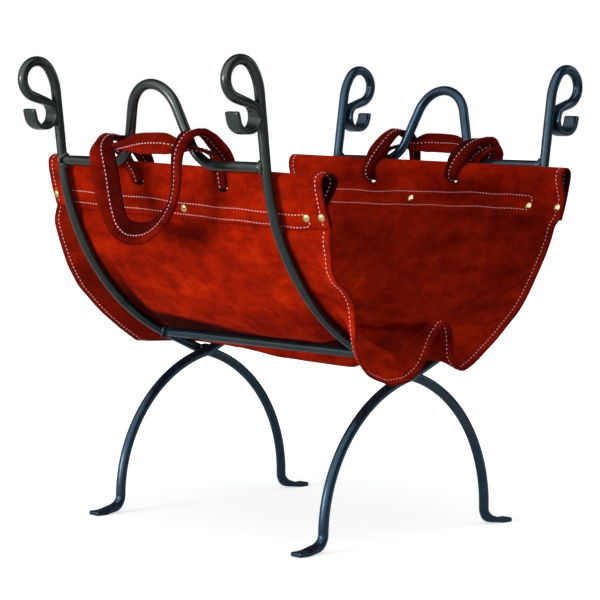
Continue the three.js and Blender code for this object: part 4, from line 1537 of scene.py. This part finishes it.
# Copies of one shape, each standing on a point
def scatter_tree():
    tree, source = new_tree("rivet_places", {"Shape": "NodeSocketObject", "Metal": "NodeSocketMaterial"})
    shape = node(tree, "GeometryNodeObjectInfo", {"Object": source["Shape"]}).outputs["Geometry"]
    points = node(tree, "GeometryNodeMeshToPoints", {"Mesh": source["Geometry"]}).outputs["Points"]
    place_copies(tree, points, shape, stand_up(tree), source["Metal"])
    return tree


def grown(name, tree, runs, values, finish, body, replaced=(), slot=None):
    points, edges, ways = [], [], []
    for run in runs:
        first = len(points)
        points += [tuple(place * mm) for place, way in run]
        ways += [c for place, way in run for c in way]
        edges += [(first + i, first + i + 1) for i in range(len(run) - 1)]
    mesh = bpy.data.meshes.new(f"{name}_guide")
    mesh.from_pydata(points, edges, [])
    mesh.attributes.new("out_way", "FLOAT_VECTOR", "POINT").data.foreach_set("vector", ways)
    guide = new_object(f"{name}_guide", mesh)
    grow = guide.modifiers.new("grow", "NODES")
    grow.node_group = tree
    for item in tree.interface.items_tree:
        if item.in_out == "INPUT" and item.name in values:
            grow[item.identifier] = values[item.name]
    made = plain_mesh(guide, name)
    bpy.data.objects.remove(guide)
    made.data.shade_smooth()
    if not made.data.materials:
        made.data.materials.append(finish)
    settle(made, body, replaced, slot)
    return made


def hide_run(x, face, first_column, last_column):
    i = min(range(len(long_stations)), key=lambda n: abs(long_stations[n] - x))
    other = i + 1 if long_stations[i] < x else i - 1
    share = abs(x - long_stations[i]) / abs(long_stations[other] - long_stations[i])
    run = []
    for j in range(first_column, last_column):
        place = mix(hide_rows[i][j], hide_rows[other][j], share)
        way = mix(hide_normals[i][j], hide_normals[other][j], share).normalized() * face
        run.append((place + way * hide_thickness / 2, way))
    return run


sling_surface = BVHTree.FromPolygons(
    [vertex.co / mm for vertex in sling.data.vertices], [face.vertices for face in sling.data.polygons]
)


# The point of the sling's outside or inside that faces a place on the band
def band_point(side, x, rise, outer):
    place, out = square_to_wall(side, x, rise - skew_drop(side, x), 0)
    way = out if outer else -out
    hit, normal = sling_surface.ray_cast(place + way * feeler, -way)[:2]
    return hit, normal if normal.dot(way) > 0 else -normal


# Each band's stitched rectangle: left, right, low and high, and how far it is shifted up at left and at right
band_stitches = {"near": (-208, 226, 7, 22.5), "far": (-177, 199, 6, 25)}
band_tilt = {"near": (0, -6), "far": (-7, 1)}


def band_rectangle(side, outer):
    left, right, low, high = band_stitches[side]
    corners = [
        (left + band_corner, low), (right - band_corner, low), (right, low + band_corner),
        (right, high - band_corner), (right - band_corner, high), (left + band_corner, high),
        (left, high - band_corner), (left, low + band_corner), (left + band_corner, low),
    ]
    run = []
    for (x0, r0), (x1, r1) in zip(corners, corners[1:]):
        count = max(2, int(math.hypot(x1 - x0, r1 - r0) / band_step))
        for k in range(count):
            x, rise = mix(x0, x1, k / count), mix(r0, r1, k / count)
            rise += mix(*band_tilt[side], smooth((x - left) / (right - left)))
            rise += band_sway * noise.noise(Vector((x / band_sway_size, sides[side], rise / band_rise_size)))
            run.append(band_point(side, x, rise, outer))
    run.append(run[0])
    return run


stitches = stitch_tree()
stitch_values = {
    "Pitch": stitch_pitch * mm,
    "Stitch Size": (stitch_length * mm, stitch_width * mm, stitch_height * mm),
    "Thread": thread,
}


def sew(name, runs, body, slot):
    grown(f"{name}_stitches", stitches, runs, stitch_values, thread, body, slot=slot)


band_runs = [band_rectangle(side, outer) for side in sides for outer in (True, False)]
sew("band", band_runs, "sling", "sling_leather")
hems = (hide_left + hem_stitch_inset, hide_right - hem_stitch_inset)
hem_runs = [hide_run(x, face, 2, hide_columns - 2) for x in hems for face in (1, -1)]
sew("hem", hem_runs, "sling", "sling_leather")

# The straps' stitches: their place across the strip, and the stations left free at each end
stitch_share = 0.1
stitch_trim = 2


def strap_stitch_runs(side, rows):
    runs = []
    frames = strap_run(side, rows)
    for face in (1, -1):
        run = []
        for centre, across, out, widths in frames[stitch_trim:-stitch_trim]:
            offset, fold = strap_offset(stitch_share, widths)
            lift = strap_half_thickness(stitch_share, fold) + stitch_lift
            run.append((centre + across * offset + out * face * lift, out * face))
        runs.append(run)
    return runs


for side in sides:
    runs = []
    for rows in (short_shares, left_tail_shares, right_tail_shares):
        runs += strap_stitch_runs(side, rows)
    sew(f"{side}_fixed_strap", runs, "sling", "strap_leather")
    sew(f"{side}_loop", strap_stitch_runs(side, loop_shares), f"{side}_loop", "strap_leather")


def rivet_head():
    profile = [(0, -rivet_sink), (rivet_radius, -rivet_sink), (rivet_radius + rivet_flange, 0)]
    for k in range(1, 9):
        turn = k / 8 * quarter_turn
        profile.append((rivet_radius * math.cos(turn), rivet_lip + rivet_dome * math.sin(turn) ** 0.9))
    rings = []
    for radius, z in profile:
        reach = max(radius, rivet_tip)
        rings.append([Vector((reach * math.cos(a), reach * math.sin(a), z)) for a in circle(28)])
    return make_piece("rivet_head", *loft(rings), brass, None)


head = rivet_head()
rivet_points, rivet_names = [], []
for side in sides:
    left, middle, right = band_rivets[side]
    places = {
        "hem_left": hide_left + hem_rivet_inset,
        "left": left,
        "middle": middle,
        "right": right,
        "hem_right": hide_right - hem_rivet_inset,
    }
    for name, x in places.items():
        rivet_names.append(f"{side}_rivet_{name}")
        for outer in (True, False):
            rivet_points.append([band_point(side, x, rivet_rise, outer)])
rivet_values = {"Shape": head, "Metal": brass}
grown("brass_rivets", scatter_tree(), rivet_points, rivet_values, brass, "sling", rivet_names, "rivet_brass")
bpy.data.objects.remove(head)

low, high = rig.bounds()
with open("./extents.json", "w") as out_file:
    json.dump({"cad": [list(cad_low), list(cad_high)], "visual": [list(low), list(high)]}, out_file)
